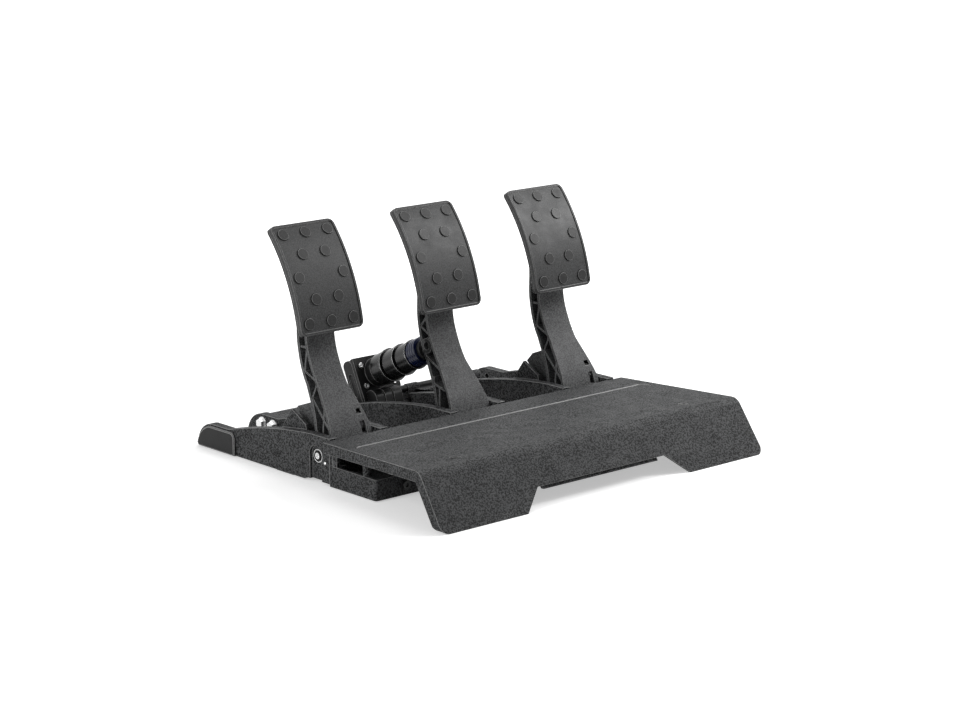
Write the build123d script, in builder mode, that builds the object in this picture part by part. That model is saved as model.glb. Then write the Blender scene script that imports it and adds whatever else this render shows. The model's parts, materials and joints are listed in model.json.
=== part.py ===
from build123d import *
import os
from math import atan2, cos, degrees, hypot, pi, radians, sin, sqrt

# Set of three racing pedals: clutch, brake and throttle on three narrow base modules, with a heel plate.
# X to the driver's right, Y away from the driver, Z up. Millimetres.
# The origin is on the floor, under the middle of the whole set.

os.makedirs("parts", exist_ok=True)

# Whole set
pedal_pitch = 150.0
depth = 397.0
rear_y = depth / 2
front_y = -depth / 2
running_gap = 0.3
fit_gap = 0.05
overrun = 5.0

# Base modules
module_width = 71.0
wall = 9.5
inner_half = module_width / 2 - wall
wall_height = 47.0
wall_front_y = -10.5
wall_lift = 1.0
toe_lift = 3.0
toe_y = 24.0
heel_step = 4.0
crest_y = 17.0
arch_rise = 3.4
leg_setback = 51.0
leg_start_y = rear_y - leg_setback
leg_top = 25.5
leg_flat = 28.5
leg_nose = 4.0
leg_chamfer = 2.0
floor_bottom = 3.0
floor_plate = 4.0
floor_top = floor_bottom + floor_plate
floor_setback = 7.5
floor_end_y = leg_start_y - floor_setback
cross_wall = 3.0
cross_wall_top = 43.0
wall_fillet = 0.8
mount_hole = 3.25
mount_front_y = 44.0
mount_rear_y = 104.0

# Hinge of each pedal
hinge_y = 8.2
hinge_z = 27.0
axle_radius = 5.0
bolt_recess = 3.5
recess_width = 17.8
recess_shift = 2.0
washer_radius = 6.8
washer_height = 1.2
bolt_head_radius = 4.6
bolt_head_height = 2.0
bolt_shank_radius = 3.0
bolt_shank = 14.0
bush_wall = 2.0
bush_flange = 1.5
bush_flange_radius = 9.0
bush_length = 14.0

# Pedal arms
arm_half_top = 17.0
arm_half_foot = inner_half - bush_flange - running_gap
arm_reach = 70.0
arm_height = 186.0
hub_radius = 13.0
flange = 3.2
flange_steps = 16
web_half = 3.0
rib_width = 2.0
solid_from_share = 0.655
window_width = 6.0
window_height = 4.5
window_x = 15.5
window_z = 62.0
slot_top = 53.5
slot_bottom = 42.0
flange_cut = 6.0

# Outline of an arm, as shares of its reach and of its height above the hinge
arm_front_shares = (
    (-0.164, 0.048), (-0.116, 0.102), (-0.041, 0.159), (0.054, 0.212), (0.161, 0.265), (0.269, 0.320),
    (0.361, 0.377), (0.434, 0.435), (0.493, 0.494), (0.527, 0.555), (0.545, 0.640), (0.557, 0.742),
    (0.597, 0.823), (0.697, 0.903), (0.840, 0.978))
arm_rear_shares = (
    (0.975, 0.960), (0.860, 0.890), (0.785, 0.800), (0.750, 0.710), (0.747, 0.628), (0.747, 0.554),
    (0.720, 0.484), (0.657, 0.398), (0.561, 0.323), (0.440, 0.255), (0.326, 0.184), (0.240, 0.110),
    (0.186, 0.030))
arm_narrow_share = 0.317
arm_wide_share = 0.115
rib_shares_outer = (
    ((0.52, 0.511), (0.66, 0.511)),
    ((0.53, 0.511), (0.58, 0.387)),
    ((0.58, 0.387), (0.29, 0.339)),
    ((0.33, 0.333), (0.39, 0.261)),
    ((0.39, 0.261), (-0.08, 0.118)),
    ((0.12, 0.266), (0.06, 0.086)))
rib_shares_brake = (
    ((0.52, 0.564), (0.66, 0.503)),
    ((0.66, 0.495), (0.48, 0.458)),
    ((0.48, 0.458), (0.60, 0.400)),
    ((0.54, 0.337), (0.12, 0.266)),
    ((0.35, 0.246), (0.33, 0.210)),
    ((0.33, 0.210), (0.08, 0.190)),
    ((0.20, 0.200), (0.14, 0.086)))

# Pedal plates and pads
plate_width = 75.0
plate_radius = 184.7
plate_middle_angle = 154.2
plate_turn = 34.4
plate_inset = 35.489
plate_drop = 22.013
plate_centre_y = hinge_y + arm_reach - plate_inset - plate_radius * cos(radians(plate_middle_angle))
plate_centre_z = hinge_z + arm_height - plate_drop - plate_radius * sin(radians(plate_middle_angle))
plate_high_angle = plate_middle_angle - plate_turn / 2
plate_corner = 6.0
pad_thickness = 3.6
backing = 2.6
pad_rim = 2.4
pad_rim_height = 0.8
stud_radius = 5.6
stud_height = 1.3
stud_rows = ((-44.5, (-26.5, 0.0, 26.5)), (-22.5, (-13.5, 13.5)), (0.0, (-26.5, 26.5)),
             (22.5, (-13.5, 13.5)), (44.5, (-26.5, 0.0, 26.5)))
mount_block_half = 13.0
mount_block_shares = ((0.30, 0.672), (0.626, 0.672), (0.826, 0.930), (0.30, 0.930))
plate_screw_seats = ((53.4, 153.2), (73.4, 148.7))
plate_screw_radius = 2.5
plate_screw_head = 4.3
plate_screw_head_height = 4.0
plate_screw_hold = 3.0

# Springs of clutch and throttle, between a cap on the arm and a seat on the floor
cap_pin_y = 51.0
cap_pin_z = 56.0
seat_pin_y = 81.0
seat_pin_z = 13.5
lobe_half = 14.3
lobe_raise = 1.2
lobe_cheek = 2.8
lobe_skin = 0.8
lobe_lip = 0.3
lobe_roof = 3.0
lobe_boss = 6.5
lobe_root_share = (0.35, 0.215)
lobe_low_shares = ((0.13, 0.095), (0.511, 0.075), (0.831, 0.1715))
lobe_top_shares = {"left": ((0.784, 0.188), (0.48, 0.2285)), "right": ((0.709, 0.220), (0.494, 0.252))}
lobe_tip_shares = {"left": (0.437, 0.103), "right": (0.396, 0.128)}
trunnion = 3.0
trunnion_play = 0.6
trunnion_barrel = 5.5
seat_disc = 12.0
seat_offset = 7.0
seat_plate = 2.5
seat_block = 9.0
cap_disc = 10.0
ear_thickness = 4.0
ear_gap = 5.0
ear_half = 7.0
guide_outer = 6.0
guide_length = 20.5
guide_bore_stop = 3.4
rod_radius = 3.5
rod_tip = 33.0
spring_radius = 8.6
wire_radius = 1.1
spring_turns = 6
spring_easing = 0.53

# Side stops beside the clutch and throttle arms
gusset = 3.3
gusset_shares = ((0.40, 0.60), (0.39, 0.98), (0.415, 1.075), (0.719, 1.313), (0.944, 0.862),
                 (0.86, 0.60))

# Brake: load cell block that rocks on a pin, elastomer barrel, plunger
brake_pin_y = 46.5
brake_pin_z = 100.9
brake_angle = 25.5
cell_pin_y = 126.0
cell_pin_z = 21.0
clevis_pin_radius = 4.0
clevis_play = 0.15
clevis_eye = 8.0
clevis_half = 5.5
clevis_boss = 7.5
clevis_boss_half = 13.5
coupler_radius = 11.0
coupler_start = 20.0
coupler_end = 24.0
neck_radius = 5.0
plunger_rod = 4.0
rod_play = 0.09
elastomer_radius = 14.4
elastomer_grooves = 3
elastomer_groove = 0.9
cup_starts = (38.4, 58.4, 78.9)
cup_radii = (15.6, 16.6, 17.6)
cup_gap = 2.25
cup_end = 98.9
cup_recess = 5.0
cup_rim = 2.6
cup_rim_step = 1.0
disc_radius = 10.5
barrel_foot_end = 108.0
barrel_foot_radius = 15.0
plunger_reach = 110.0
plunger_bore_end = 118.5
cell_plate = 4.0
cell_depth = 14.5
cell_half = 22.7
cell_top = 18.2
cell_bottom = -18.4
cell_side = 3.0
cell_corner = 3.0
cell_pin_radius = 5.0
cell_pin_hold = 6.0
carrier_pin_radius = 9.5
carrier_radius = 9.0
carrier_s = 104.1
carrier_n = -26.6
carrier_left = 20.0
carrier_right = 14.0
knuckle_slot = 1.8
knuckle_x = (-9.0, 2.0)
cell_ear_bottom = -28.0
cell_ear_width = 5.4
cell_side_corner = 6.0
cell_window_length = 24.0
cell_window_width = 8.0
cell_window_depth = 1.5
cell_window_n = -8.0
tube_lead = 3.3
tube_rise = 14.8
tube_y = cell_pin_y + tube_lead
tube_z = cell_pin_z + tube_rise
tube_radius = 3.7
tube_boss = 4.6
tube_boss_lead = 5.0
load_beam_width = 30.0
load_beam_height = 9.0
load_beam_depth = 5.0
cell_screw_x = 18.0
cell_screw_n = (9.6, -12.0)
cell_screw_head = 2.9
cell_screw_head_height = 1.6
cell_screw_radius = 1.6
cell_screw_length = 9.0

# Front beam
beam_front_y = -78.5
beam_rear_y = -15.5
beam_top = 21.5
beam_wall = 4.0
beam_lift = 1.0
beam_fillet = 3.0
beam_ear = 8.0
tongue_half = 22.0
tongue_front_y = -74.5
tongue_plate = 4.0
tongue_block = 8.0
tongue_block_depth = 7.0
tongue_block_top = 18.0
beam_rib = 3.0
screw_radius = 2.5
screw_head = 4.4
screw_head_height = 2.6
screw_length = 7.0
screw_x = 14.0
screw_y = -45.0
front_screw_z = 11.0

# Heel plate
heel_back_y = -12.5
heel_back_z = 46.0
crease_setback = 35.0
crease_y = front_y + crease_setback
crease_z = 51.0
crease_radius = 12.0
skirt_overhang = 23.0
crease_taper = 2.5
heel_taper = 13.9
skirt_half = pedal_pitch + module_width / 2 + skirt_overhang
crease_half = skirt_half - crease_taper
heel_back_half = skirt_half - heel_taper
heel_skin = 3.0
heel_rim = 10.5
skirt_corner = 9.0
notch_half_low = 105.3
notch_half_high = 82.4
notch_height = 18.5
notch_corner = 3.0
groove_inset = 6.6
groove_half = heel_back_half - groove_inset
groove_y = -57.5
groove_width = 16.0
groove_depth = 0.8
heel_screw_inset = 58.0
heel_screw_setback = 17.3
heel_screw_x = crease_half - heel_screw_inset
heel_screw_y = crease_y + heel_screw_setback
dimple_radius = 5.0
dimple_depth = 1.0
side_post_inset = 13.6
side_post_x = heel_back_half - side_post_inset
side_post_y = -60.0
side_post_radius = 3.8
pillar_radius = 8.0
tab_thickness = 4.0
tab_width = 6.0
lip_half = 74.5
lip_thickness = 3.0
lip_low = 14.6
lip_high = 26.0

# Rear end
cover_thickness = 3.0
cover_lead = 12.0
cover_front_y = leg_start_y - cover_lead
cover_top = 24.0
cover_corner = 6.0
link_setback = 2.5
link_depth = 28.5
link_front_y = leg_start_y + link_setback
link_rear_y = link_front_y + link_depth
link_bottom = 5.0
link_top = 24.5
link_skin = 3.0
link_bolt_inset = 5.5
link_bolt_y = (link_front_y + link_bolt_inset, link_rear_y - link_bolt_inset)
link_bolt_z = 17.0
link_bolt_radius = 2.5
link_washer_radius = 6.2
link_washer = 1.2
link_head_radius = 4.8
link_head = 4.2
link_bolt_hold = 12.0

# Feet, stops and electronics
foot_width = 6.0
foot_length = 26.0
foot_pocket = 1.5
foot_setback = 22.5
foot_rear_y = leg_start_y + foot_setback
foot_front_y = 60.0
bumper_radius = 4.5
bumper_z = 37.0
bumper_length = 3.6
sensor_length = 18.0
sensor_width = 16.0
sensor_height = 4.5
chip_height = 2.0
magnet_radius = 3.0
magnet_length = 4.0
magnet_sink = 0.6
box_x = 75.0
box_length = 58.0
box_depth = 38.0
box_height = 15.0
box_skin = 2.0
board_thickness = 1.6
board_lift = 2.0
board_post = 2.0
socket_width = 11.0
socket_height = 8.0
socket_depth = 10.0
socket_wall = 0.8
socket_step = 13.5
socket_count = 4
contact_width = 6.0
contact_height = 1.6

pedals = {"left": -pedal_pitch, "middle": 0.0, "right": pedal_pitch}
sprung = ("left", "right")
made = []


def finish(part, label):
    """Name a finished piece and write it to its own file."""
    part.label = label
    export_step(part, "parts/" + label + ".step")
    made.append(label)


def arm_point(share):
    """A point of an arm's side view, from shares of its reach and height."""
    return (hinge_y + share[0] * arm_reach, hinge_z + share[1] * arm_height)


def screw(place, head_radius, head_height, shank_radius, shank, socket_share=0.5):
    """A cap screw at a place whose Z axis points out of the head; the head's underside is at the place."""
    with BuildPart(place) as body:
        Cylinder(head_radius, head_height, align=(Align.CENTER, Align.CENTER, Align.MIN))
        Cylinder(shank_radius, shank, align=(Align.CENTER, Align.CENTER, Align.MAX))
        with BuildSketch(place.offset(head_height)):
            RegularPolygon(head_radius * socket_share, 6)
        extrude(amount=-head_height * socket_share, mode=Mode.SUBTRACT)
    return body.part


def side_plane(x):
    """A plane across the set at x, whose own X is the set's Y and whose own Y is the set's Z."""
    return Plane.YZ.offset(x)


# Side view of a base wall
with BuildSketch() as wall_face:
    with BuildLine():
        crest = (crest_y, wall_height)
        leg_start = (leg_start_y, leg_top)
        leg_end = (leg_start_y + leg_flat, leg_top)
        arch_middle = ((crest_y + leg_start_y) / 2, (wall_height + leg_top) / 2 + arch_rise)
        nose = (rear_y, leg_nose)
        nose_middle = ((leg_end[0] + rear_y) / 2 + leg_nose, (leg_top + leg_nose) / 2 + leg_nose)
        Line((wall_front_y, toe_lift), (wall_front_y, wall_height))
        Line((wall_front_y, wall_height), crest)
        ThreePointArc(crest, arch_middle, leg_start)
        Line(leg_start, leg_end)
        ThreePointArc(leg_end, nose_middle, nose)
        Line(nose, (rear_y - leg_chamfer, wall_lift))
        Line((rear_y - leg_chamfer, wall_lift), (toe_y + heel_step, wall_lift))
        Line((toe_y + heel_step, wall_lift), (toe_y, toe_lift))
        Line((toe_y, toe_lift), (wall_front_y, toe_lift))
    make_face()

# Rubber foot places: two under each wall of every module, and two under the beam
wall_middle = (module_width - wall) / 2
foot_spots = [(x + side * wall_middle, y) for x in pedals.values() for side in (-1, 1)
              for y in (foot_rear_y, foot_front_y)]
foot_sink = wall_lift + foot_pocket
lever_x = seat_pin_y - cap_pin_y
lever_z = cap_pin_z - seat_pin_z
spring_span = hypot(lever_x, lever_z)
spring_length = spring_span - 2 * seat_offset
seat_ear_inner = seat_block + ear_gap
link_wall_x = {"left": (-pedal_pitch + module_width / 2, -module_width / 2),
               "right": (module_width / 2, pedal_pitch - module_width / 2)}

# Base modules; a cross tube behind the brake joins the middle and the right one
tube_sides = {"middle": 1, "right": -1}
for name, x in pedals.items():
    outer = module_width / 2
    with BuildPart() as module:
        for side in (-1, 1):
            with BuildSketch(side_plane(x + side * wall_middle)):
                add(wall_face.sketch)
            extrude(amount=wall / 2, both=True)
        with BuildSketch(Plane.XY.offset(floor_bottom)):
            with Locations((x, (wall_front_y + floor_end_y) / 2)):
                Rectangle(2 * inner_half, floor_end_y - wall_front_y)
        extrude(amount=floor_plate)
        with BuildSketch(Plane.XZ.offset(-wall_front_y)):
            with Locations((x, (floor_bottom + cross_wall_top) / 2)):
                Rectangle(2 * inner_half, cross_wall_top - floor_bottom)
        extrude(amount=-cross_wall)
        tongue_bottom = beam_lift + beam_wall
        with BuildSketch(Plane.XY.offset(tongue_bottom)):
            with Locations((x, (tongue_front_y + wall_front_y) / 2)):
                Rectangle(2 * tongue_half, wall_front_y - tongue_front_y)
        extrude(amount=tongue_plate)
        with BuildSketch(Plane.XY.offset(tongue_bottom)):
            with Locations((x, tongue_front_y + tongue_block_depth / 2)):
                Rectangle(2 * tongue_block, tongue_block_depth)
        extrude(amount=tongue_block_top - tongue_bottom)
        if name in sprung:
            for side in (-1, 1):
                with BuildSketch(side_plane(x + side * (inner_half - gusset / 2))):
                    with BuildLine():
                        Polyline(*[(hinge_y + y * arm_reach, z * wall_height) for y, z in gusset_shares],
                                 close=True)
                    make_face()
                extrude(amount=gusset / 2, both=True)
                with BuildSketch(side_plane(x + side * (seat_ear_inner + ear_thickness / 2))):
                    with Locations((seat_pin_y, (floor_bottom + seat_pin_z) / 2)):
                        Rectangle(2 * ear_half, seat_pin_z - floor_bottom)
                    with Locations((seat_pin_y, seat_pin_z)):
                        Circle(ear_half)
                        Circle(trunnion + fit_gap, mode=Mode.SUBTRACT)
                extrude(amount=ear_thickness / 2, both=True)
        if name in tube_sides:
            way = tube_sides[name]
            with BuildSketch(side_plane(x + way * inner_half)):
                with Locations((tube_y, (floor_top + tube_z) / 2)):
                    Rectangle(2 * tube_boss, tube_z - floor_top)
                with Locations((tube_y, tube_z)):
                    Circle(tube_boss)
            extrude(amount=way * wall)
            with Locations(Location((x + way * inner_half, tube_y, tube_z), (0, 90 * way, 0))):
                Cylinder(tube_boss, wall + tube_boss_lead, align=(Align.CENTER, Align.CENTER, Align.MIN))
            with Locations(Location((x + way * inner_half, tube_y, tube_z), (0, 90, 0))):
                Cylinder(tube_radius + fit_gap, 4 * wall, mode=Mode.SUBTRACT)
        # Recesses for the axle bolts, in the outer face of each wall
        for side in (-1, 1):
            with BuildSketch(side_plane(x + side * outer)):
                with Locations((hinge_y + recess_shift, (hinge_z - overrun) / 2)):
                    Rectangle(recess_width, hinge_z + overrun)
                with Locations((hinge_y + recess_shift, hinge_z)):
                    Circle(recess_width / 2 + wall_fillet)
            extrude(amount=-side * bolt_recess, mode=Mode.SUBTRACT)
        with Locations(Location((x, hinge_y, hinge_z), (0, 90, 0))):
            Cylinder(axle_radius + fit_gap, module_width + overrun, mode=Mode.SUBTRACT)
        # Bolting holes in the floor, for the rig that the set is fixed to
        with Locations((x, mount_front_y, floor_bottom), (x, mount_rear_y, floor_bottom)):
            Cylinder(mount_hole, 4 * floor_plate, mode=Mode.SUBTRACT)
        # Screw holes in the tongue
        with Locations(*[(x + side * screw_x, screw_y, tongue_bottom) for side in (-1, 1)]):
            Cylinder(screw_radius + fit_gap, 4 * tongue_plate, mode=Mode.SUBTRACT)
        with Locations(Location((x, tongue_front_y, front_screw_z), (90, 0, 0))):
            Cylinder(screw_radius + fit_gap, 4 * tongue_block_depth, mode=Mode.SUBTRACT)
        # Holes for the link bolts through both legs
        for y in link_bolt_y:
            with Locations(Location((x, y, link_bolt_z), (0, 90, 0))):
                Cylinder(link_bolt_radius + fit_gap, module_width + overrun, mode=Mode.SUBTRACT)
        # Pockets for the feet
        for side in (-1, 1):
            for y in (foot_rear_y, foot_front_y):
                with Locations((x + side * wall_middle, y, foot_sink / 2)):
                    Box(foot_width, foot_length, foot_sink, mode=Mode.SUBTRACT)
        if name == "middle":
            pin_start = Location((x - inner_half - cell_pin_hold, cell_pin_y, cell_pin_z), (0, 90, 0))
            with Locations(pin_start):
                Cylinder(cell_pin_radius + fit_gap, module_width,
                         align=(Align.CENTER, Align.CENTER, Align.MIN), mode=Mode.SUBTRACT)
    finish(module.part, "module_" + name)

# Places of the control box and its sockets
tray_floor = beam_lift + beam_wall
box_rear_y = beam_rear_y - beam_wall
box_middle_y = box_rear_y - box_depth / 2
board_z = tray_floor + board_lift
socket_z = board_z + board_thickness
socket_xs = [box_x + (i - (socket_count - 1) / 2) * socket_step for i in range(socket_count)]

# Front beam: an open tray that ties the three modules together
beam_half = pedal_pitch + module_width / 2
beam_depth = beam_rear_y - beam_front_y
beam_middle_y = (beam_front_y + beam_rear_y) / 2
with BuildPart() as beam:
    with BuildSketch(Plane.XY.offset(beam_lift)):
        with Locations((0, beam_middle_y)):
            RectangleRounded(2 * beam_half, beam_depth, beam_fillet)
    extrude(amount=beam_top - beam_lift)
    with BuildSketch(Plane.XY.offset(beam_lift + beam_wall)):
        with Locations((0, beam_middle_y)):
            Rectangle(2 * (beam_half - beam_wall), beam_depth - 2 * beam_wall)
    extrude(amount=beam_top, mode=Mode.SUBTRACT)
    # Ears at both ends, flush with the outer walls of the modules behind them
    ear_top = heel_back_z - heel_skin - running_gap
    for front, top in ((beam_rear_y - beam_fillet, beam_top), (beam_rear_y, ear_top)):
        with BuildSketch(Plane.XY.offset(beam_lift)):
            with Locations(*[(side * (beam_half - beam_ear / 2), (front + wall_front_y) / 2)
                             for side in (-1, 1)]):
                Rectangle(beam_ear, wall_front_y - front)
        extrude(amount=top - beam_lift)
    rib_places = [x + side * (tongue_half + beam_rib) for x in pedals.values() for side in (-1, 1)]
    with BuildSketch(Plane.XY.offset(beam_lift)):
        with Locations(*[(rib_x, beam_middle_y) for rib_x in rib_places]):
            Rectangle(beam_rib, beam_depth - beam_wall)
    extrude(amount=beam_top / 2)
    # The tongues of the modules come in through the rear wall
    with BuildSketch(Plane.XY.offset(beam_lift + beam_wall)):
        with Locations(*[(x, beam_rear_y) for x in pedals.values()]):
            Rectangle(2 * (tongue_half + fit_gap), 2 * beam_wall + overrun)
    extrude(amount=beam_top, mode=Mode.SUBTRACT)
    with Locations(*[(x + side * screw_x, screw_y, beam_lift + beam_wall) for x in pedals.values()
                     for side in (-1, 1)]):
        Cylinder(screw_radius + fit_gap, 2 * (beam_wall - beam_lift), mode=Mode.SUBTRACT)
    with Locations(*[Location((x, beam_front_y, front_screw_z), (90, 0, 0)) for x in pedals.values()]):
        Cylinder(screw_radius + fit_gap, 3 * beam_wall, mode=Mode.SUBTRACT)
    # Window for the sockets in the rear wall
    with BuildSketch(Plane.XZ.offset(-box_rear_y)):
        with Locations(*[(socket_x, socket_z + socket_height / 2) for socket_x in socket_xs]):
            Rectangle(socket_width + 2 * fit_gap, socket_height + 2 * fit_gap)
    extrude(amount=-2 * beam_wall, mode=Mode.SUBTRACT)
finish(beam.part, "front_beam")

# Heel plate: top, rounded crease, sloping skirt with a notch, and a rim down both sides
skirt_run = crease_y - front_y
skirt_rise = crease_z
with BuildSketch() as heel_outline:
    with BuildLine() as heel_line:
        FilletPolyline((heel_back_y, heel_back_z), (crease_y, crease_z), (front_y, 0),
                       radius=crease_radius)
        Line((front_y, 0), (front_y + 2 * skirt_run + overrun, 0))
        Line((front_y + 2 * skirt_run + overrun, 0), (heel_back_y, 0))
        Line((heel_back_y, 0), (heel_back_y, heel_back_z))
    make_face()


def heel_layer(drop):
    """The side view of the heel plate, lowered square to its own surface by the drop."""
    slope = atan2(skirt_rise, skirt_run)
    back = (heel_back_y + overrun, heel_back_z - drop)
    crease = (crease_y + drop / sin(slope) * (1 - cos(slope)), crease_z - drop)
    foot = (front_y + drop / sin(slope), 0)
    radius = max(crease_radius - drop, wall_fillet)
    with BuildSketch() as layer:
        with BuildLine():
            FilletPolyline(back, crease, foot, radius=radius)
            Polyline(foot, (foot[0], -overrun), (back[0], -overrun), back)
        make_face()
    return layer.sketch


def heel_plan(inset):
    """The outline of the heel plate from above, narrower by the inset on both sides."""
    with BuildSketch() as plan:
        with BuildLine():
            half = ((heel_back_half, heel_back_y), (crease_half, crease_y), (skirt_half, front_y))
            right = [(px - inset, py) for px, py in half]
            left = [(-px, py) for px, py in reversed(right)]
            reach = 0 if inset == 0 else overrun
            right[0] = (right[0][0], heel_back_y + reach)
            left[-1] = (-right[0][0], heel_back_y + reach)
            right[-1] = (right[-1][0], front_y - reach)
            left[0] = (-right[-1][0], front_y - reach)
            Polyline(*right, *left, close=True)
        make_face()
    return plan.sketch


with BuildPart() as heel_core:
    with BuildSketch(Plane.YZ):
        add(heel_layer(heel_skin))
    extrude(amount=skirt_half + overrun, both=True)
    with BuildSketch(Plane.XY.offset(-overrun)):
        add(heel_plan(heel_skin))
    extrude(amount=crease_z + 3 * overrun, mode=Mode.INTERSECT)

with BuildPart() as heel_plate:
    with BuildSketch(Plane.YZ):
        add(heel_outline.sketch)
    extrude(amount=skirt_half, both=True)
    with BuildSketch(Plane.XY):
        add(heel_plan(0))
    extrude(amount=crease_z + overrun, mode=Mode.INTERSECT)
    with BuildSketch(Plane.YZ):
        add(heel_layer(heel_rim))
    extrude(amount=skirt_half + overrun, both=True, mode=Mode.SUBTRACT)
    add(heel_core.part, mode=Mode.SUBTRACT)
    # The notch at the toe, and the rounded lower corners of the skirt
    with BuildSketch(Plane.XZ.offset(-crease_y)):
        with BuildLine():
            low = -overrun * (notch_half_low - notch_half_high) / notch_height
            FilletPolyline((-notch_half_low + low, -overrun), (-notch_half_high, notch_height),
                           (notch_half_high, notch_height), (notch_half_low - low, -overrun),
                           radius=notch_corner)
            Line((notch_half_low - low, -overrun), (-notch_half_low + low, -overrun))
        make_face()
    extrude(amount=2 * skirt_run, mode=Mode.SUBTRACT)
    for side in (-1, 1):
        with BuildSketch(Plane.XZ.offset(-crease_y)):
            with Locations((side * (skirt_half - skirt_corner / 2), skirt_corner / 2)):
                Rectangle(skirt_corner + fit_gap, skirt_corner)
            with Locations((side * (skirt_half - skirt_corner), skirt_corner)):
                Circle(skirt_corner, mode=Mode.SUBTRACT)
        extrude(amount=2 * skirt_run, mode=Mode.SUBTRACT)
    # Long shallow groove across the top, and the dimples of the two screws
    top_tilt = degrees(atan2(crease_z - heel_back_z, heel_back_y - crease_y))
    top_middle = Plane(origin=(0, heel_back_y, heel_back_z), x_dir=(1, 0, 0),
                       z_dir=(0, sin(radians(top_tilt)), cos(radians(top_tilt))))
    with BuildSketch(top_middle):
        with Locations((0, groove_y - heel_back_y)):
            SlotOverall(2 * groove_half, groove_width)
    extrude(amount=-groove_depth, mode=Mode.SUBTRACT)
    with BuildSketch(top_middle):
        with Locations(*[(side * heel_screw_x, heel_screw_y - heel_back_y) for side in (-1, 1)]):
            Circle(dimple_radius)
    extrude(amount=-dimple_depth, mode=Mode.SUBTRACT)
    with Locations(*[(side * heel_screw_x, heel_screw_y, crease_z) for side in (-1, 1)]):
        Cylinder(screw_radius + fit_gap, 2 * heel_rim, mode=Mode.SUBTRACT)
    # Tabs that stand on the beam beside the outer modules
    for side in (-1, 1):
        with BuildSketch(Plane.XY.offset(beam_top)):
            with Locations((side * (beam_half - tab_thickness / 2), beam_rear_y - tab_width / 2)):
                Rectangle(tab_thickness, tab_width)
        extrude(amount=heel_back_z - heel_skin / 2 - beam_top)
finish(heel_plate.part, "heel_plate")


def heel_underside(y):
    """Height of the heel plate's underside at y."""
    share = (heel_back_y - y) / (heel_back_y - crease_y)
    return heel_back_z + (crease_z - heel_back_z) * share - heel_skin


# Posts under the heel plate: two on the beam's ends and two pillars behind the skirt
with BuildPart() as posts:
    with BuildSketch(Plane.XY.offset(beam_top)):
        with Locations(*[(side * side_post_x, side_post_y) for side in (-1, 1)]):
            Circle(side_post_radius)
    extrude(amount=heel_underside(side_post_y) - beam_top)
    pillar_top = heel_underside(heel_screw_y + pillar_radius)
    with BuildSketch(Plane.XY):
        with Locations(*[(side * heel_screw_x, heel_screw_y) for side in (-1, 1)]):
            Circle(pillar_radius)
    extrude(amount=pillar_top)
    with Locations(*[(side * heel_screw_x, heel_screw_y, pillar_top) for side in (-1, 1)]):
        Cylinder(screw_radius + fit_gap, 4 * screw_length, mode=Mode.SUBTRACT)
finish(posts.part, "heel_posts")

# Stiffening lip on the inside of the skirt, showing just below the notch's top edge
skirt_slope = atan2(skirt_rise, skirt_run)
skin_run = heel_skin / sin(skirt_slope)


def skirt_y(z, inset):
    """Y of the skirt's surface at height z, moved inwards by the inset."""
    return front_y + z * skirt_run / skirt_rise + inset / sin(skirt_slope)


with BuildPart() as lip:
    with BuildSketch(Plane.YZ):
        with BuildLine():
            Polyline((skirt_y(lip_low, heel_skin), lip_low), (skirt_y(lip_high, heel_skin), lip_high),
                     (skirt_y(lip_high, heel_skin + lip_thickness), lip_high),
                     (skirt_y(lip_low, heel_skin + lip_thickness), lip_low), close=True)
        make_face()
    extrude(amount=lip_half, both=True)
finish(lip.part, "skirt_lip")

# End covers on the outermost legs
with BuildSketch() as cover_face:
    with BuildLine():
        FilletPolyline((cover_front_y, wall_lift), (cover_front_y, cover_top),
                       (leg_end[0], cover_top), radius=cover_corner)
        cover_nose_middle = (nose_middle[0] - leg_chamfer, nose_middle[1] - leg_chamfer)
        ThreePointArc((leg_end[0], cover_top), cover_nose_middle, (rear_y - leg_chamfer, leg_nose))
        Polyline((rear_y - leg_chamfer, leg_nose), (rear_y - 2 * leg_chamfer, wall_lift),
                 (cover_front_y, wall_lift))
    make_face()
for name, side in (("left", -1), ("right", 1)):
    with BuildPart() as cover:
        with BuildSketch(side_plane(side * beam_half)):
            add(cover_face.sketch)
        extrude(amount=side * cover_thickness)
        outer_face = cover.faces().sort_by(Axis.X)[-1 if side > 0 else 0]
        chamfer(outer_face.edges(), length=cover_thickness / 3)
    finish(cover.part, "end_cover_" + name)

# Rear links between neighbouring modules, hollow from below
for name, (x0, x1) in link_wall_x.items():
    link_length = x1 - x0
    link_middle = ((x0 + x1) / 2, (link_front_y + link_rear_y) / 2)
    with BuildPart() as link:
        with BuildSketch(Plane.XY.offset(link_bottom)):
            with Locations(link_middle):
                Rectangle(link_length, link_depth)
        extrude(amount=link_top - link_bottom)
        fillet(link.edges().filter_by(Axis.X).group_by(Axis.Z)[-1], radius=link_skin)
        with BuildSketch(Plane.XY.offset(link_bottom)):
            with Locations(link_middle):
                Rectangle(link_length - 2 * (link_bolt_hold + link_skin), link_depth - 2 * link_skin)
        extrude(amount=link_top - link_bottom - link_skin, mode=Mode.SUBTRACT)
        for y in link_bolt_y:
            with Locations(Location((link_middle[0], y, link_bolt_z), (0, 90, 0))):
                Cylinder(link_bolt_radius + fit_gap, link_length + overrun, mode=Mode.SUBTRACT)
    finish(link.part, "rear_link_" + name)

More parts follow.
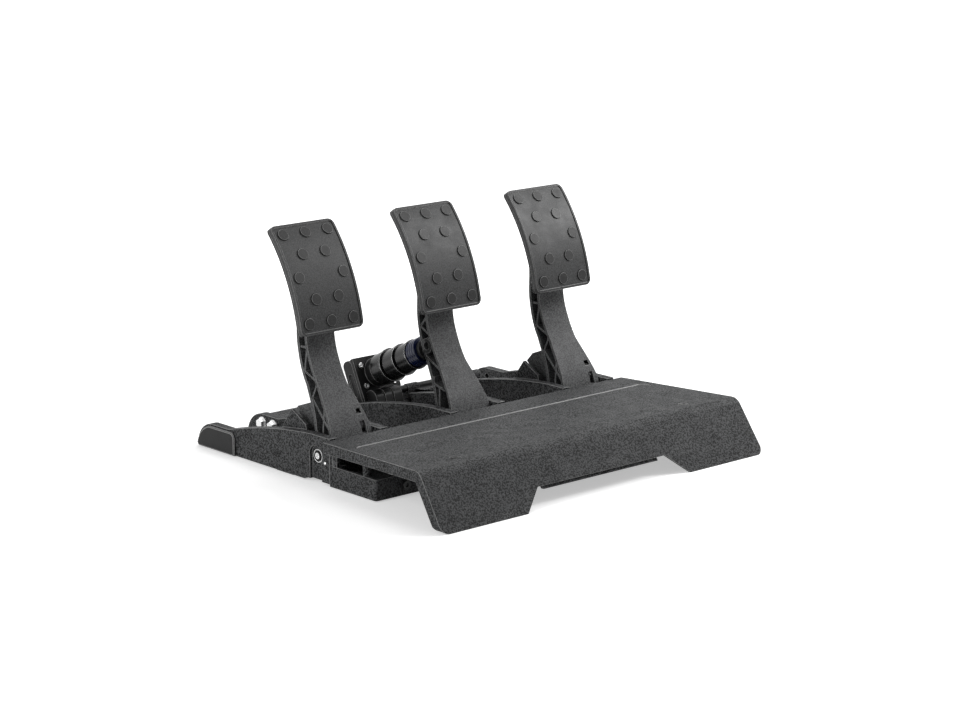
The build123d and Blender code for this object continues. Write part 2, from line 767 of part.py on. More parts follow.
# Link bolts with washers, heads on the inside of the channels
link_bolts = []
for x0, x1 in link_wall_x.values():
    for wall_x, way in ((x0, -1), (x1, 1)):
        for y in link_bolt_y:
            face_x = wall_x + way * wall
            place = Plane(origin=(face_x, y, link_bolt_z), z_dir=(way, 0, 0))
            with BuildPart(place) as bolt:
                Cylinder(link_washer_radius, link_washer, align=(Align.CENTER, Align.CENTER, Align.MIN))
                with BuildSketch(place.offset(link_washer)):
                    RegularPolygon(link_head_radius, 6)
                extrude(amount=link_head)
                Cylinder(link_bolt_radius, wall + link_bolt_hold,
                         align=(Align.CENTER, Align.CENTER, Align.MAX))
            link_bolts.append(bolt.part)
finish(Compound(children=link_bolts), "link_bolts")

# Rubber feet
with BuildPart() as feet:
    for foot_x, foot_y in foot_spots:
        with Locations((foot_x, foot_y, foot_sink / 2)):
            Box(foot_width - 2 * fit_gap, foot_length - 2 * fit_gap, foot_sink)
finish(feet.part, "rubber_feet")

# Screws of the frame: modules to beam, beam to modules, heel plate to pillars
frame_screws = []
for x in pedals.values():
    for side in (-1, 1):
        place = Plane(origin=(x + side * screw_x, screw_y, tongue_bottom + tongue_plate))
        frame_screws.append(screw(place, screw_head, screw_head_height, screw_radius, screw_length))
    place = Plane(origin=(x, beam_front_y, front_screw_z), z_dir=(0, -1, 0))
    frame_screws.append(screw(place, screw_head, screw_head_height, screw_radius, screw_length))
top_slope = (crease_z - heel_back_z) / (heel_back_y - crease_y)
dimple_floor = heel_underside(heel_screw_y) + heel_skin - dimple_depth + screw_head * top_slope
for side in (-1, 1):
    place = Plane(origin=(side * heel_screw_x, heel_screw_y, dimple_floor + fit_gap))
    frame_screws.append(screw(place, screw_head, dimple_depth, screw_radius, screw_length))
finish(Compound(children=frame_screws), "frame_screws")

# Axles across the modules, with a washer and a bolt at each end
axle_half = module_width / 2 - bolt_recess
axles = []
axle_bolts = []
for x in pedals.values():
    with BuildPart() as axle:
        with Locations(Location((x, hinge_y, hinge_z), (0, 90, 0))):
            Cylinder(axle_radius, 2 * axle_half)
            Cylinder(bolt_shank_radius + fit_gap, 2 * (axle_half + overrun), mode=Mode.SUBTRACT)
    axles.append(axle.part)
    for side in (-1, 1):
        place = Plane(origin=(x + side * axle_half, hinge_y, hinge_z), z_dir=(side, 0, 0))
        with BuildPart(place) as axle_bolt:
            Cylinder(washer_radius, washer_height, align=(Align.CENTER, Align.CENTER, Align.MIN))
            Cylinder(bolt_shank_radius, bolt_shank, align=(Align.CENTER, Align.CENTER, Align.MAX))
            with BuildSketch(place.offset(washer_height)):
                Circle(bolt_head_radius)
                RegularPolygon(bolt_head_radius / 2, 6, mode=Mode.SUBTRACT)
            extrude(amount=bolt_head_height)
        axle_bolts.append(axle_bolt.part)
finish(Compound(children=axles), "axles")
finish(Compound(children=axle_bolts), "axle_bolts")

# Pedal arms
bush_outer = axle_radius + fit_gap + bush_wall
with BuildSketch() as arm_face:
    with BuildLine():
        front_line = Spline(*[arm_point(s) for s in arm_front_shares])
        rear_line = Spline(*[arm_point(s) for s in arm_rear_shares])
        Line(front_line @ 1, rear_line @ 0)
        Line(rear_line @ 1, front_line @ 0)
    make_face()


def inside_points(line):
    """Points one flange's thickness inside the arm's outline, beside one of its two long edges."""
    steps = [i / flange_steps for i in range(flange_steps + 1)]
    return [line @ step + (line % step).rotate(Axis.Z, -90) * flange for step in steps]


with BuildSketch() as arm_hub_face:
    with Locations((hinge_y, hinge_z)):
        Circle(hub_radius)

plate_back = plate_radius - pad_thickness - backing
magnet_low = hinge_z - hub_radius + magnet_sink


def plate_place(x, along=0):
    """A plane on the pad's curved face, the given way up from its middle; its Z points out of it."""
    angle = radians(plate_middle_angle) - along / plate_radius
    return Plane(origin=(x, plate_centre_y + plate_radius * cos(angle),
                         plate_centre_z + plate_radius * sin(angle)),
                 x_dir=(1, 0, 0), z_dir=(0, cos(angle), sin(angle)))


def plate_screw_places(x):
    """Each plate screw's place, at its head's underside with Z to the rear, and its shank's length."""
    for rise, lead in plate_screw_seats:
        z = plate_centre_z + rise
        seat_y = plate_centre_y - lead
        back_y = plate_centre_y - sqrt(plate_back ** 2 - (z - plate_centre_z) ** 2)
        yield Plane(origin=(x, seat_y, z), z_dir=(0, 1, 0)), seat_y - back_y + plate_screw_hold


brake_along = (cos(radians(brake_angle)), -sin(radians(brake_angle)))
brake_up = (sin(radians(brake_angle)), cos(radians(brake_angle)))


def brake_point(s, n):
    """A point of the brake's side view, s along its axis from the arm's pin and n above the axis."""
    return (brake_pin_y + s * brake_along[0] + n * brake_up[0],
            brake_pin_z + s * brake_along[1] + n * brake_up[1])


for name, x in pedals.items():
    ribs = rib_shares_outer if name in sprung else rib_shares_brake
    # Pockets of one side, as a tool: the inside of the outline less the ribs
    with BuildPart() as pockets:
        with BuildSketch(side_plane(x)) as pocket_sketch:
            with BuildLine():
                front_inside = Spline(*inside_points(front_line))
                rear_inside = Spline(*inside_points(rear_line))
                Line(front_inside @ 1, rear_inside @ 0)
                Line(rear_inside @ 1, front_inside @ 0)
            make_face()
            solid_from = arm_point((0, solid_from_share))[1]
            with Locations((hinge_y, solid_from + arm_height / 2)):
                Rectangle(3 * arm_reach, arm_height, mode=Mode.SUBTRACT)
            with Locations((hinge_y, hinge_z)):
                Circle(hub_radius, mode=Mode.SUBTRACT)
            for start, end in ribs:
                with BuildLine() as rib_line:
                    Line(arm_point(start), arm_point(end))
                trace(line_width=rib_width, mode=Mode.SUBTRACT)
            if name == "middle":
                with Locations((brake_pin_y, brake_pin_z)):
                    Circle(clevis_boss, mode=Mode.SUBTRACT)
        extrude(amount=module_width, both=True)
        with BuildSketch(Plane.XZ):
            with Locations((x, hinge_z + arm_height / 2)):
                Rectangle(2 * web_half, 2 * arm_height)
        extrude(amount=2 * arm_height, both=True, mode=Mode.SUBTRACT)
    with BuildPart() as arm:
        with BuildSketch(side_plane(x)):
            add(arm_face.sketch)
            add(arm_hub_face.sketch)
        extrude(amount=arm_half_foot, both=True)
        # Narrow at the top, wide at the foot
        with BuildSketch(Plane.XZ.offset(-rear_y)):
            with BuildLine():
                half = ((arm_half_top, arm_height), (arm_half_top, arm_height * arm_narrow_share),
                        (arm_half_foot, arm_height * arm_wide_share), (arm_half_foot, -hub_radius))
                right = [(x + hx, hinge_z + hz) for hx, hz in half]
                left = [(x - hx, hinge_z + hz) for hx, hz in reversed(half)]
                Polyline(*right, *left, close=True)
            make_face()
        extrude(amount=depth, mode=Mode.INTERSECT)
        add(pockets.part, mode=Mode.SUBTRACT)
        if name in sprung:
            lobe_top = [arm_point(s) for s in lobe_top_shares[name]]
            lobe_low = [arm_point(s) for s in lobe_low_shares]
            lobe_root = arm_point(lobe_root_share)
            lobe_tip = arm_point(lobe_tip_shares[name])
            with BuildSketch(side_plane(x)):
                with BuildLine():
                    Polyline(*lobe_low, *lobe_top, lobe_root, close=True)
                make_face()
                with Locations((cap_pin_y, cap_pin_z)):
                    Circle(lobe_boss)
                add(arm_hub_face.sketch, mode=Mode.SUBTRACT)
            extrude(amount=lobe_half, both=True)
            # Raised upper part of each cheek
            with BuildSketch(side_plane(x)):
                with BuildLine():
                    Polyline(*lobe_top, lobe_root, lobe_tip, close=True)
                make_face()
            extrude(amount=lobe_half + lobe_raise, both=True)
            with BuildSketch(side_plane(x)):
                with BuildLine():
                    reach = arm_point(arm_rear_shares[-3])
                    tail_y = lobe_low[-1][0] + overrun
                    Polyline((lobe_top[1][0] + flange, lobe_top[1][1] - lobe_roof),
                             (lobe_top[0][0], lobe_top[0][1] - lobe_lip),
                             (tail_y, lobe_top[0][1] - lobe_lip),
                             (tail_y, lobe_low[-1][1] - 3 * lobe_boss),
                             (cap_pin_y - lobe_boss, cap_pin_z - 3 * lobe_boss),
                             (reach[0] + flange + lobe_roof, reach[1] + flange), close=True)
                make_face()
            extrude(amount=lobe_half - lobe_cheek, both=True, mode=Mode.SUBTRACT)
            with Locations(Location((x, cap_pin_y, cap_pin_z), (0, 90, 0))):
                Cylinder(trunnion + trunnion_play, 2 * (lobe_half - lobe_skin), mode=Mode.SUBTRACT)
            # Window and open slot through the front flange
            front_y_here = arm_point(arm_front_shares[2])[0]
            for low, high in ((window_z - window_height / 2, window_z + window_height / 2),
                              (slot_bottom, slot_top)):
                with Locations((x + window_x, front_y_here, (low + high) / 2)):
                    Box(window_width, 2 * flange_cut + arm_reach / 4, high - low, mode=Mode.SUBTRACT)
        else:
            with BuildSketch(side_plane(x)):
                with Locations((brake_pin_y, brake_pin_z)):
                    Circle(clevis_boss)
            extrude(amount=clevis_boss_half, both=True)
            # Room for the plunger's eye and neck, through web and rear flange
            mouth = brake_point(clevis_eye * 3, 0)
            with BuildSketch(side_plane(x)):
                with BuildLine():
                    Line((brake_pin_y, brake_pin_z), mouth)
                trace(line_width=2 * (clevis_eye + running_gap + clevis_play))
                with Locations((brake_pin_y, brake_pin_z)):
                    Circle(clevis_eye + running_gap + clevis_play)
            extrude(amount=clevis_half + running_gap, both=True, mode=Mode.SUBTRACT)
            with Locations(Location((x, brake_pin_y, brake_pin_z), (0, 90, 0))):
                Cylinder(clevis_pin_radius, 3 * clevis_boss_half, mode=Mode.SUBTRACT)
        with Locations(Location((x, hinge_y, hinge_z), (0, 90, 0))):
            Cylinder(bush_outer + fit_gap, module_width, mode=Mode.SUBTRACT)
        # Block that meets the back of the plate
        with BuildSketch(side_plane(x)):
            with BuildLine():
                Polyline(*[arm_point(s) for s in mount_block_shares], close=True)
            make_face()
            with Locations((plate_centre_y, plate_centre_z)):
                Circle(plate_back, mode=Mode.INTERSECT)
        extrude(amount=mount_block_half, both=True)
        for place, shank in plate_screw_places(x):
            with Locations(place):
                Cylinder(plate_screw_radius + fit_gap, shank + overrun,
                         align=(Align.CENTER, Align.CENTER, Align.MAX), mode=Mode.SUBTRACT)
                Cylinder(plate_screw_head + running_gap, arm_reach,
                         align=(Align.CENTER, Align.CENTER, Align.MIN), mode=Mode.SUBTRACT)
        if name in sprung:
            with Locations((x, hinge_y, magnet_low)):
                Cylinder(magnet_radius + fit_gap, 2 * magnet_length, mode=Mode.SUBTRACT)
    finish(arm.part, "arm_" + name)

# Flanged bushes, two in each arm
for name, x in pedals.items():
    bush_pair = []
    for side in (-1, 1):
        place = Plane(origin=(x + side * arm_half_foot, hinge_y, hinge_z), z_dir=(side, 0, 0))
        with BuildPart(place) as bush:
            Cylinder(bush_flange_radius, bush_flange, align=(Align.CENTER, Align.CENTER, Align.MIN))
            Cylinder(bush_outer, bush_length, align=(Align.CENTER, Align.CENTER, Align.MAX))
            Cylinder(axle_radius + fit_gap, 4 * bush_length, mode=Mode.SUBTRACT)
        bush_pair.append(bush.part)
    finish(Compound(children=bush_pair), "bushes_" + name)


def plate_band(x, outer, inner, inset=0):
    """A curved band of a pedal plate between two radii, with rounded corners, smaller by the inset."""
    chord = 2 * plate_radius * sin(radians(plate_turn / 2))
    with BuildPart() as band:
        with BuildSketch(side_plane(x)):
            with BuildLine():
                centre = (plate_centre_y, plate_centre_z)
                outer_arc = CenterArc(centre, outer, plate_high_angle, plate_turn)
                inner_arc = CenterArc(centre, inner, plate_high_angle, plate_turn)
                Line(outer_arc @ 0, inner_arc @ 0)
                Line(outer_arc @ 1, inner_arc @ 1)
            make_face()
        extrude(amount=plate_width / 2, both=True)
        with BuildSketch(plate_place(x)):
            RectangleRounded(plate_width - 2 * inset, chord - 2 * inset, plate_corner - inset)
        extrude(amount=plate_width, both=True, mode=Mode.INTERSECT)
    return band.part


# Pedal plates, each a stiff backing and a pad with a raised rim and round studs
pad_back = plate_radius - pad_thickness
for name, x in pedals.items():
    with BuildPart() as plate:
        add(plate_band(x, pad_back, plate_back))
        for place, shank in plate_screw_places(x):
            with Locations(place):
                Cylinder(plate_screw_radius + fit_gap, shank + fit_gap,
                         align=(Align.CENTER, Align.CENTER, Align.MAX), mode=Mode.SUBTRACT)
    finish(plate.part, "plate_" + name)
    with BuildPart() as pad:
        add(plate_band(x, plate_radius + pad_rim_height, pad_back))
        add(plate_band(x, plate_radius + 2 * pad_rim_height, plate_radius, pad_rim), mode=Mode.SUBTRACT)
        for along, offsets in stud_rows:
            with Locations(*[plate_place(x + dx, along) for dx in offsets]):
                Cylinder(stud_radius, 2 * stud_height)
        for place, shank in plate_screw_places(x):
            with Locations(place):
                Cylinder(plate_screw_radius + fit_gap, shank + fit_gap,
                         align=(Align.CENTER, Align.CENTER, Align.MAX), mode=Mode.SUBTRACT)
    finish(pad.part, "pad_" + name)
    plate_screws = [screw(place, plate_screw_head, plate_screw_head_height, plate_screw_radius, shank)
                    for place, shank in plate_screw_places(x)]
    finish(Compound(children=plate_screws), "plate_screws_" + name)

# Magnets in the hubs of the clutch and throttle arms, read by the sensors below them
for name in sprung:
    with BuildPart(Plane(origin=(pedals[name], hinge_y, magnet_low))) as magnet:
        Cylinder(magnet_radius, magnet_length, align=(Align.CENTER, Align.CENTER, Align.MIN))
    finish(magnet.part, "magnet_" + name)

# Springs of clutch and throttle; their axis runs from the seat's pin up to the cap's pin
spring_up = (-lever_x / spring_span, lever_z / spring_span)


def spring_plane(x, reach):
    """A plane square to a spring's axis, the given way from the seat's pin towards the cap's pin."""
    return Plane(origin=(x, seat_pin_y + reach * spring_up[0], seat_pin_z + reach * spring_up[1]),
                 x_dir=(1, 0, 0), z_dir=(0, spring_up[0], spring_up[1]))


def coil_point(plane, share):
    """A point of a coil's centre line and its direction there; the turns are closer at both ends."""
    rise = spring_length - 2 * wire_radius - 2 * fit_gap
    turn = 2 * pi * spring_turns
    height = rise * (share - spring_easing * sin(2 * pi * share) / (2 * pi))
    slope = rise * (1 - spring_easing * cos(2 * pi * share)) / turn
    angle = turn * share
    point = Vector(spring_radius * cos(angle), spring_radius * sin(angle),
                   wire_radius + fit_gap + height)
    ahead = Vector(-spring_radius * sin(angle), spring_radius * cos(angle), slope)
    start = plane.from_local_coords(Vector(0, 0, 0))
    return plane.from_local_coords(point), (plane.from_local_coords(ahead) - start).normalized()


def coil_line(plane, parts):
    """The coil's centre line as pairs of arcs that share their direction where they meet."""
    stations = [coil_point(plane, i / parts) for i in range(parts + 1)]
    for (start, start_way), (end, end_way) in zip(stations, stations[1:]):
        span = end - start
        both = start_way + end_way
        spread = 2 * (1 - start_way.dot(end_way))
        reach = (sqrt(span.dot(both) ** 2 + spread * span.dot(span)) - span.dot(both)) / spread
        middle = (start + end + (start_way - end_way) * reach) / 2
        middle_way = (end - end_way * reach - start - start_way * reach).normalized()
        TangentArc(start, middle, tangent=start_way)
        TangentArc(middle, end, tangent=middle_way)


def least_coil_gap(plane):
    """The least distance between two turns of the coil, less the wire's thickness."""
    per_turn = 24
    points = [coil_point(plane, i / (per_turn * spring_turns))[0]
              for i in range(per_turn * spring_turns + 1)]
    return min((a - b).length for i, a in enumerate(points) for b in points[i + per_turn // 2:]) \
        - 2 * wire_radius


for name in sprung:
    x = pedals[name]
    # Seat on the floor, with the rod that guides the spring
    with BuildPart() as seat:
        with Locations(Location((x, seat_pin_y, seat_pin_z), (0, 90, 0))):
            Cylinder(trunnion, 2 * (seat_ear_inner + ear_thickness))
            Cylinder(trunnion_barrel, 2 * seat_block)
        with BuildSketch(spring_plane(x, seat_offset)):
            Circle(seat_disc)
        extrude(amount=-seat_plate)
        with BuildSketch(spring_plane(x, 0)):
            Circle(rod_radius)
        extrude(amount=rod_tip)
    finish(seat.part, "spring_seat_" + name)
    # Cap under the arm's roof, with the tube that slides on the rod
    with BuildPart() as cap:
        with Locations(Location((x, cap_pin_y, cap_pin_z), (0, 90, 0))):
            Cylinder(trunnion, 2 * (lobe_half - lobe_skin - running_gap))
            Cylinder(trunnion_barrel, 2 * (lobe_half - lobe_cheek - running_gap))
        with BuildSketch(spring_plane(x, spring_span - seat_offset)):
            Circle(cap_disc)
        extrude(amount=seat_plate)
        with BuildSketch(spring_plane(x, spring_span - seat_offset - guide_length)):
            Circle(guide_outer)
        extrude(amount=guide_length + seat_offset - trunnion)
        with BuildSketch(spring_plane(x, spring_span - guide_bore_stop)):
            Circle(rod_radius + rod_play)
        extrude(amount=-2 * guide_length, mode=Mode.SUBTRACT)
    finish(cap.part, "spring_cap_" + name)
    spring_start = spring_plane(x, seat_offset)
    first_point, first_way = coil_point(spring_start, 0)
    with BuildPart() as spring:
        with BuildLine() as wire_line:
            coil_line(spring_start, 4 * spring_turns)
        with BuildSketch(Plane(origin=first_point, z_dir=first_way)):
            Circle(wire_radius)
        sweep(path=wire_line.line)
    finish(spring.part, "spring_" + name)
print("least gap of a spring to itself", round(least_coil_gap(spring_plane(0, seat_offset)), 3), "mm")


def brake_place(s, x=0, n=0, way=1):
    """A plane square to the brake's axis; its Z points to the rear, or to the driver where way is -1."""
    y, z = brake_point(s, n)
    return Plane(origin=(x, y, z), x_dir=(1, 0, 0),
                 z_dir=(0, way * brake_along[0], way * brake_along[1]))


def brake_cylinder(radius, start, end, mode=Mode.ADD):
    """A cylinder on the brake's axis between two stations."""
    with Locations(brake_place(start)):
        Cylinder(radius, end - start, align=(Align.CENTER, Align.CENTER, Align.MIN), mode=mode)


def brake_block(left, right, start, end, low, high):
    """A block square to the brake's axis, between two sides, two stations and two heights."""
    with BuildSketch(brake_place(start), mode=Mode.PRIVATE) as face:
        with Locations(((left + right) / 2, -(low + high) / 2)):
            Rectangle(right - left, high - low)
    extrude(face.sketch, amount=end - start)


# Clevis pin in the brake arm, and the plunger that it drives
with BuildPart() as clevis_pin:
    with Locations(Location((0, brake_pin_y, brake_pin_z), (0, 90, 0))):
        Cylinder(clevis_pin_radius, 2 * clevis_boss_half)
finish(clevis_pin.part, "clevis_pin")

with BuildPart() as plunger:
    with Locations(Location((0, brake_pin_y, brake_pin_z), (0, 90, 0))):
        Cylinder(clevis_eye, 2 * clevis_half)
    brake_cylinder(neck_radius, 0, coupler_start + fit_gap)
    brake_cylinder(coupler_radius, coupler_start, coupler_end)
    brake_cylinder(plunger_rod, coupler_end, plunger_reach)
    with Locations(Location((0, brake_pin_y, brake_pin_z), (0, 90, 0))):
        Cylinder(clevis_pin_radius + clevis_play, 3 * clevis_half, mode=Mode.SUBTRACT)
finish(plunger.part, "brake_plunger")

# Elastomer in front of the cups, with shallow grooves round it
rod_bore = plunger_rod + rod_play
with BuildPart() as elastomer:
    brake_cylinder(elastomer_radius, coupler_end, cup_starts[0])
    groove_step = (cup_starts[0] - coupler_end) / (elastomer_grooves + 1)
    for i in range(elastomer_grooves):
        groove_middle = coupler_end + (i + 1) * groove_step
        with Locations(brake_place(groove_middle)):
            Torus(elastomer_radius, elastomer_groove, mode=Mode.SUBTRACT)
    brake_cylinder(rod_bore + running_gap, coupler_end, cup_starts[0], mode=Mode.SUBTRACT)
finish(elastomer.part, "brake_elastomer")

# Cups, each with a rim at its front and a recess for the disc that presses on the next one
cup_ends = cup_starts[1:] + (cup_end,)
discs = []
for i, (start, following, radius) in enumerate(zip(cup_starts, cup_ends, cup_radii), 1):
    end = following - cup_gap
    with BuildPart() as cup:
        brake_cylinder(radius, start, start + cup_rim)
        brake_cylinder(radius - cup_rim_step, start, end)
        brake_cylinder(disc_radius + running_gap, end - cup_recess, end, mode=Mode.SUBTRACT)
        brake_cylinder(rod_bore, start, end, mode=Mode.SUBTRACT)
    finish(cup.part, "brake_cup_" + str(i))
    with BuildPart() as disc:
        brake_cylinder(disc_radius, end - cup_recess, following)
        brake_cylinder(rod_bore + running_gap, end - cup_recess, following, mode=Mode.SUBTRACT)
    discs.append(disc.part)
finish(Compound(children=discs), "brake_discs")

# Load cell: front plate with the barrel's foot, housing with the pin's eye, side plates
plate_end = barrel_foot_end + cell_plate
cell_end = plate_end + cell_depth
cell_outer = cell_half + cell_side
cell_screws = [(side * cell_screw_x, n) for side in (-1, 1) for n in cell_screw_n]
with BuildPart() as cell_front:
    brake_block(-cell_outer, cell_outer, barrel_foot_end, plate_end, cell_bottom, cell_top)
    brake_block(-cell_outer, cell_ear_width - cell_outer, barrel_foot_end, plate_end,
                cell_ear_bottom, cell_bottom)
    brake_cylinder(barrel_foot_radius, cup_end, barrel_foot_end)
    brake_cylinder(rod_bore, cup_end, plate_end, mode=Mode.SUBTRACT)
    with Locations(*[brake_place(barrel_foot_end, sx, sn) for sx, sn in cell_screws]):
        Cylinder(cell_screw_radius + fit_gap, 4 * cell_plate, mode=Mode.SUBTRACT)
finish(cell_front.part, "cell_front")

beam_start = cell_end - load_beam_depth - running_gap
with BuildPart() as cell_housing:
    brake_block(-cell_half, cell_half, plate_end, cell_end, cell_bottom, cell_top)
    with BuildSketch(side_plane(-carrier_left)):
        with Locations(brake_point(carrier_s, carrier_n)):
            Circle(carrier_radius)
        with Locations((cell_pin_y, cell_pin_z)):
            Circle(carrier_pin_radius)
        make_hull()
        with BuildLine():
            Polyline(brake_point(plate_end, cell_bottom + cell_corner),
                     brake_point(cell_end, cell_bottom + cell_corner),
                     brake_point(cell_end, cell_bottom - cell_corner),
                     brake_point(carrier_s + carrier_radius - cell_corner, carrier_n - cell_corner),
                     brake_point(carrier_s, carrier_n), brake_point(plate_end, cell_bottom), close=True)
        make_face()
    extrude(amount=carrier_left + carrier_right)
    brake_cylinder(rod_bore, plate_end, plunger_bore_end, mode=Mode.SUBTRACT)
    with BuildSketch(brake_place(cell_end)):
        Rectangle(load_beam_width + 2 * fit_gap, load_beam_height + 2 * fit_gap)
    extrude(amount=beam_start - cell_end, mode=Mode.SUBTRACT)
    # Slots between the knuckles round the pin
    for slot_x in knuckle_x:
        with BuildSketch(side_plane(slot_x)):
            with Locations(brake_point(carrier_s, carrier_n)):
                Circle(2 * carrier_radius)
            with Locations(brake_point(carrier_s, carrier_n)):
                Circle(carrier_radius - knuckle_slot, mode=Mode.SUBTRACT)
            with Locations((cell_pin_y, cell_pin_z)):
                Circle(carrier_pin_radius - knuckle_slot, mode=Mode.SUBTRACT)
            with Locations(brake_point(cell_end, (cell_bottom + cell_top) / 2)):
                Rectangle(6 * carrier_radius, cell_top - cell_bottom - 2 * knuckle_slot,
                          rotation=-brake_angle, mode=Mode.SUBTRACT)
        extrude(amount=knuckle_slot / 2, both=True, mode=Mode.SUBTRACT)
    with Locations(Location((0, cell_pin_y, cell_pin_z), (0, 90, 0))):
        Cylinder(cell_pin_radius + fit_gap, 3 * cell_half, mode=Mode.SUBTRACT)
    with Locations(*[brake_place(plate_end, sx, sn) for sx, sn in cell_screws]):
        Cylinder(cell_screw_radius + fit_gap, 2 * cell_screw_length, mode=Mode.SUBTRACT)
finish(cell_housing.part, "cell_housing")

side_plates = []
for side, bottom in ((-1, cell_ear_bottom), (1, cell_bottom)):
    with BuildPart() as side_plate:
        brake_block(min(side * cell_half, side * cell_outer), max(side * cell_half, side * cell_outer),
                    plate_end, cell_end, bottom, cell_top)
        fillet(side_plate.edges().filter_by(Axis.X).sort_by(Axis.Y)[-2:], radius=cell_side_corner)
        with BuildSketch(side_plane(side * cell_outer)):
            with Locations(brake_point(plate_end + cell_depth / 2, cell_window_n)):
                SlotOverall(cell_window_length, cell_window_width, rotation=90 - brake_angle)
        extrude(amount=-side * cell_window_depth, mode=Mode.SUBTRACT)
    side_plates.append(side_plate.part)
finish(Compound(children=side_plates), "cell_sides")

ring_screws = [screw(brake_place(barrel_foot_end, sx, sn, way=-1), cell_screw_head,
                     cell_screw_head_height, cell_screw_radius, cell_screw_length)
               for sx, sn in cell_screws]
finish(Compound(children=ring_screws), "cell_screws")

with BuildPart() as load_beam:
    with BuildSketch(brake_place(beam_start)):
        Rectangle(load_beam_width, load_beam_height)
    extrude(amount=load_beam_depth)
finish(load_beam.part, "load_beam")

with BuildPart(Plane(origin=(-inner_half - cell_pin_hold, cell_pin_y, cell_pin_z), z_dir=(1, 0, 0))) as pin:
    Cylinder(cell_pin_radius, inner_half + cell_pin_hold + module_width / 2,
             align=(Align.CENTER, Align.CENTER, Align.MIN))
finish(pin.part, "cell_pin")

# Cross tube, from beside the brake's carrier into the wall of the throttle module
tube_start = carrier_right + running_gap
with BuildPart(Plane(origin=(tube_start, tube_y, tube_z), z_dir=(1, 0, 0))) as cross_tube:
    tube_length = pedal_pitch - inner_half - running_gap - tube_start
    Cylinder(tube_radius, tube_length, align=(Align.CENTER, Align.CENTER, Align.MIN))
finish(cross_tube.part, "cross_tube")

# Rubber bumpers that the arms rest against
with BuildPart() as bumpers:
    for x in pedals.values():
        with BuildSketch(Plane.XZ.offset(-wall_front_y - cross_wall)):
            with Locations((x, bumper_z)):
                Circle(bumper_radius)
        extrude(amount=-bumper_length)
finish(bumpers.part, "bumpers")

# Position sensors on the floor under the hubs
with BuildPart() as sensors:
    for name in sprung:
        with BuildSketch(Plane.XY.offset(floor_top)):
            with Locations((pedals[name], hinge_y)):
                Rectangle(sensor_width, sensor_length)
        extrude(amount=sensor_height - chip_height)
        with BuildSketch(Plane.XY.offset(floor_top + sensor_height - chip_height)):
            with Locations((pedals[name], hinge_y)):
                Rectangle(sensor_width / 2, sensor_length / 2)
        extrude(amount=chip_height)
finish(sensors.part, "sensors")

# Control box in the beam, with its board and the sockets that reach through the beam's rear wall
inner_length = box_length - 2 * box_skin
inner_depth = box_depth - 2 * box_skin
with BuildPart() as control_box:
    with BuildSketch(Plane.XY.offset(tray_floor)):
        with Locations((box_x, box_middle_y)):
            Rectangle(box_length, box_depth)
    extrude(amount=box_height)
    with BuildSketch(Plane.XY.offset(tray_floor)):
        with Locations((box_x, box_middle_y)):
            Rectangle(inner_length, inner_depth)
    extrude(amount=box_height - box_skin, mode=Mode.SUBTRACT)
    # Posts from the floor of the box's corners carry the board
    with BuildSketch(Plane.XY.offset(tray_floor)):
        with Locations(*[(box_x + sx * (inner_length / 2 - board_post),
                          box_middle_y + sy * (inner_depth / 2 - board_post))
                         for sx in (-1, 1) for sy in (-1, 1)]):
            Rectangle(2 * board_post, 2 * board_post)
    extrude(amount=board_lift)
    for socket_x in socket_xs:
        with BuildSketch(Plane.XZ.offset(-box_middle_y)):
            with Locations((socket_x, socket_z + socket_height / 2)):
                Rectangle(socket_width + 2 * fit_gap, socket_height + 2 * fit_gap)
        extrude(amount=-box_depth, mode=Mode.SUBTRACT)
finish(control_box.part, "control_box")

with BuildPart() as board:
    with BuildSketch(Plane.XY.offset(board_z)):
        with Locations((box_x, box_middle_y)):
            Rectangle(inner_length - 2 * fit_gap, inner_depth - 2 * fit_gap)
    extrude(amount=board_thickness)
finish(board.part, "circuit_board")

data_sockets = []
for socket_x in socket_xs:
    with BuildPart() as socket:
        middle = (socket_x, socket_z + socket_height / 2)
        with BuildSketch(Plane.XZ.offset(-beam_rear_y)):
            with Locations(middle):
                Rectangle(socket_width, socket_height)
        extrude(amount=socket_depth)
        with BuildSketch(Plane.XZ.offset(-beam_rear_y)):
            with Locations(middle):
                Rectangle(socket_width - 2 * socket_wall, socket_height - 2 * socket_wall)
        extrude(amount=socket_depth - socket_wall, mode=Mode.SUBTRACT)
        with BuildSketch(Plane.XZ.offset(socket_depth - beam_rear_y)):
            with Locations((socket_x, socket_z + socket_height - socket_wall - contact_height / 2)):
                Rectangle(contact_width, contact_height)
        extrude(amount=-(socket_depth - 2 * socket_wall))
    data_sockets.append(socket.part)
finish(Compound(children=data_sockets), "data_sockets")
print(len(made), "pieces written")
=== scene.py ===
import json
from math import atan2, cos, hypot, pi, radians, sin

import bmesh
import bpy
from mathutils import Matrix, Vector


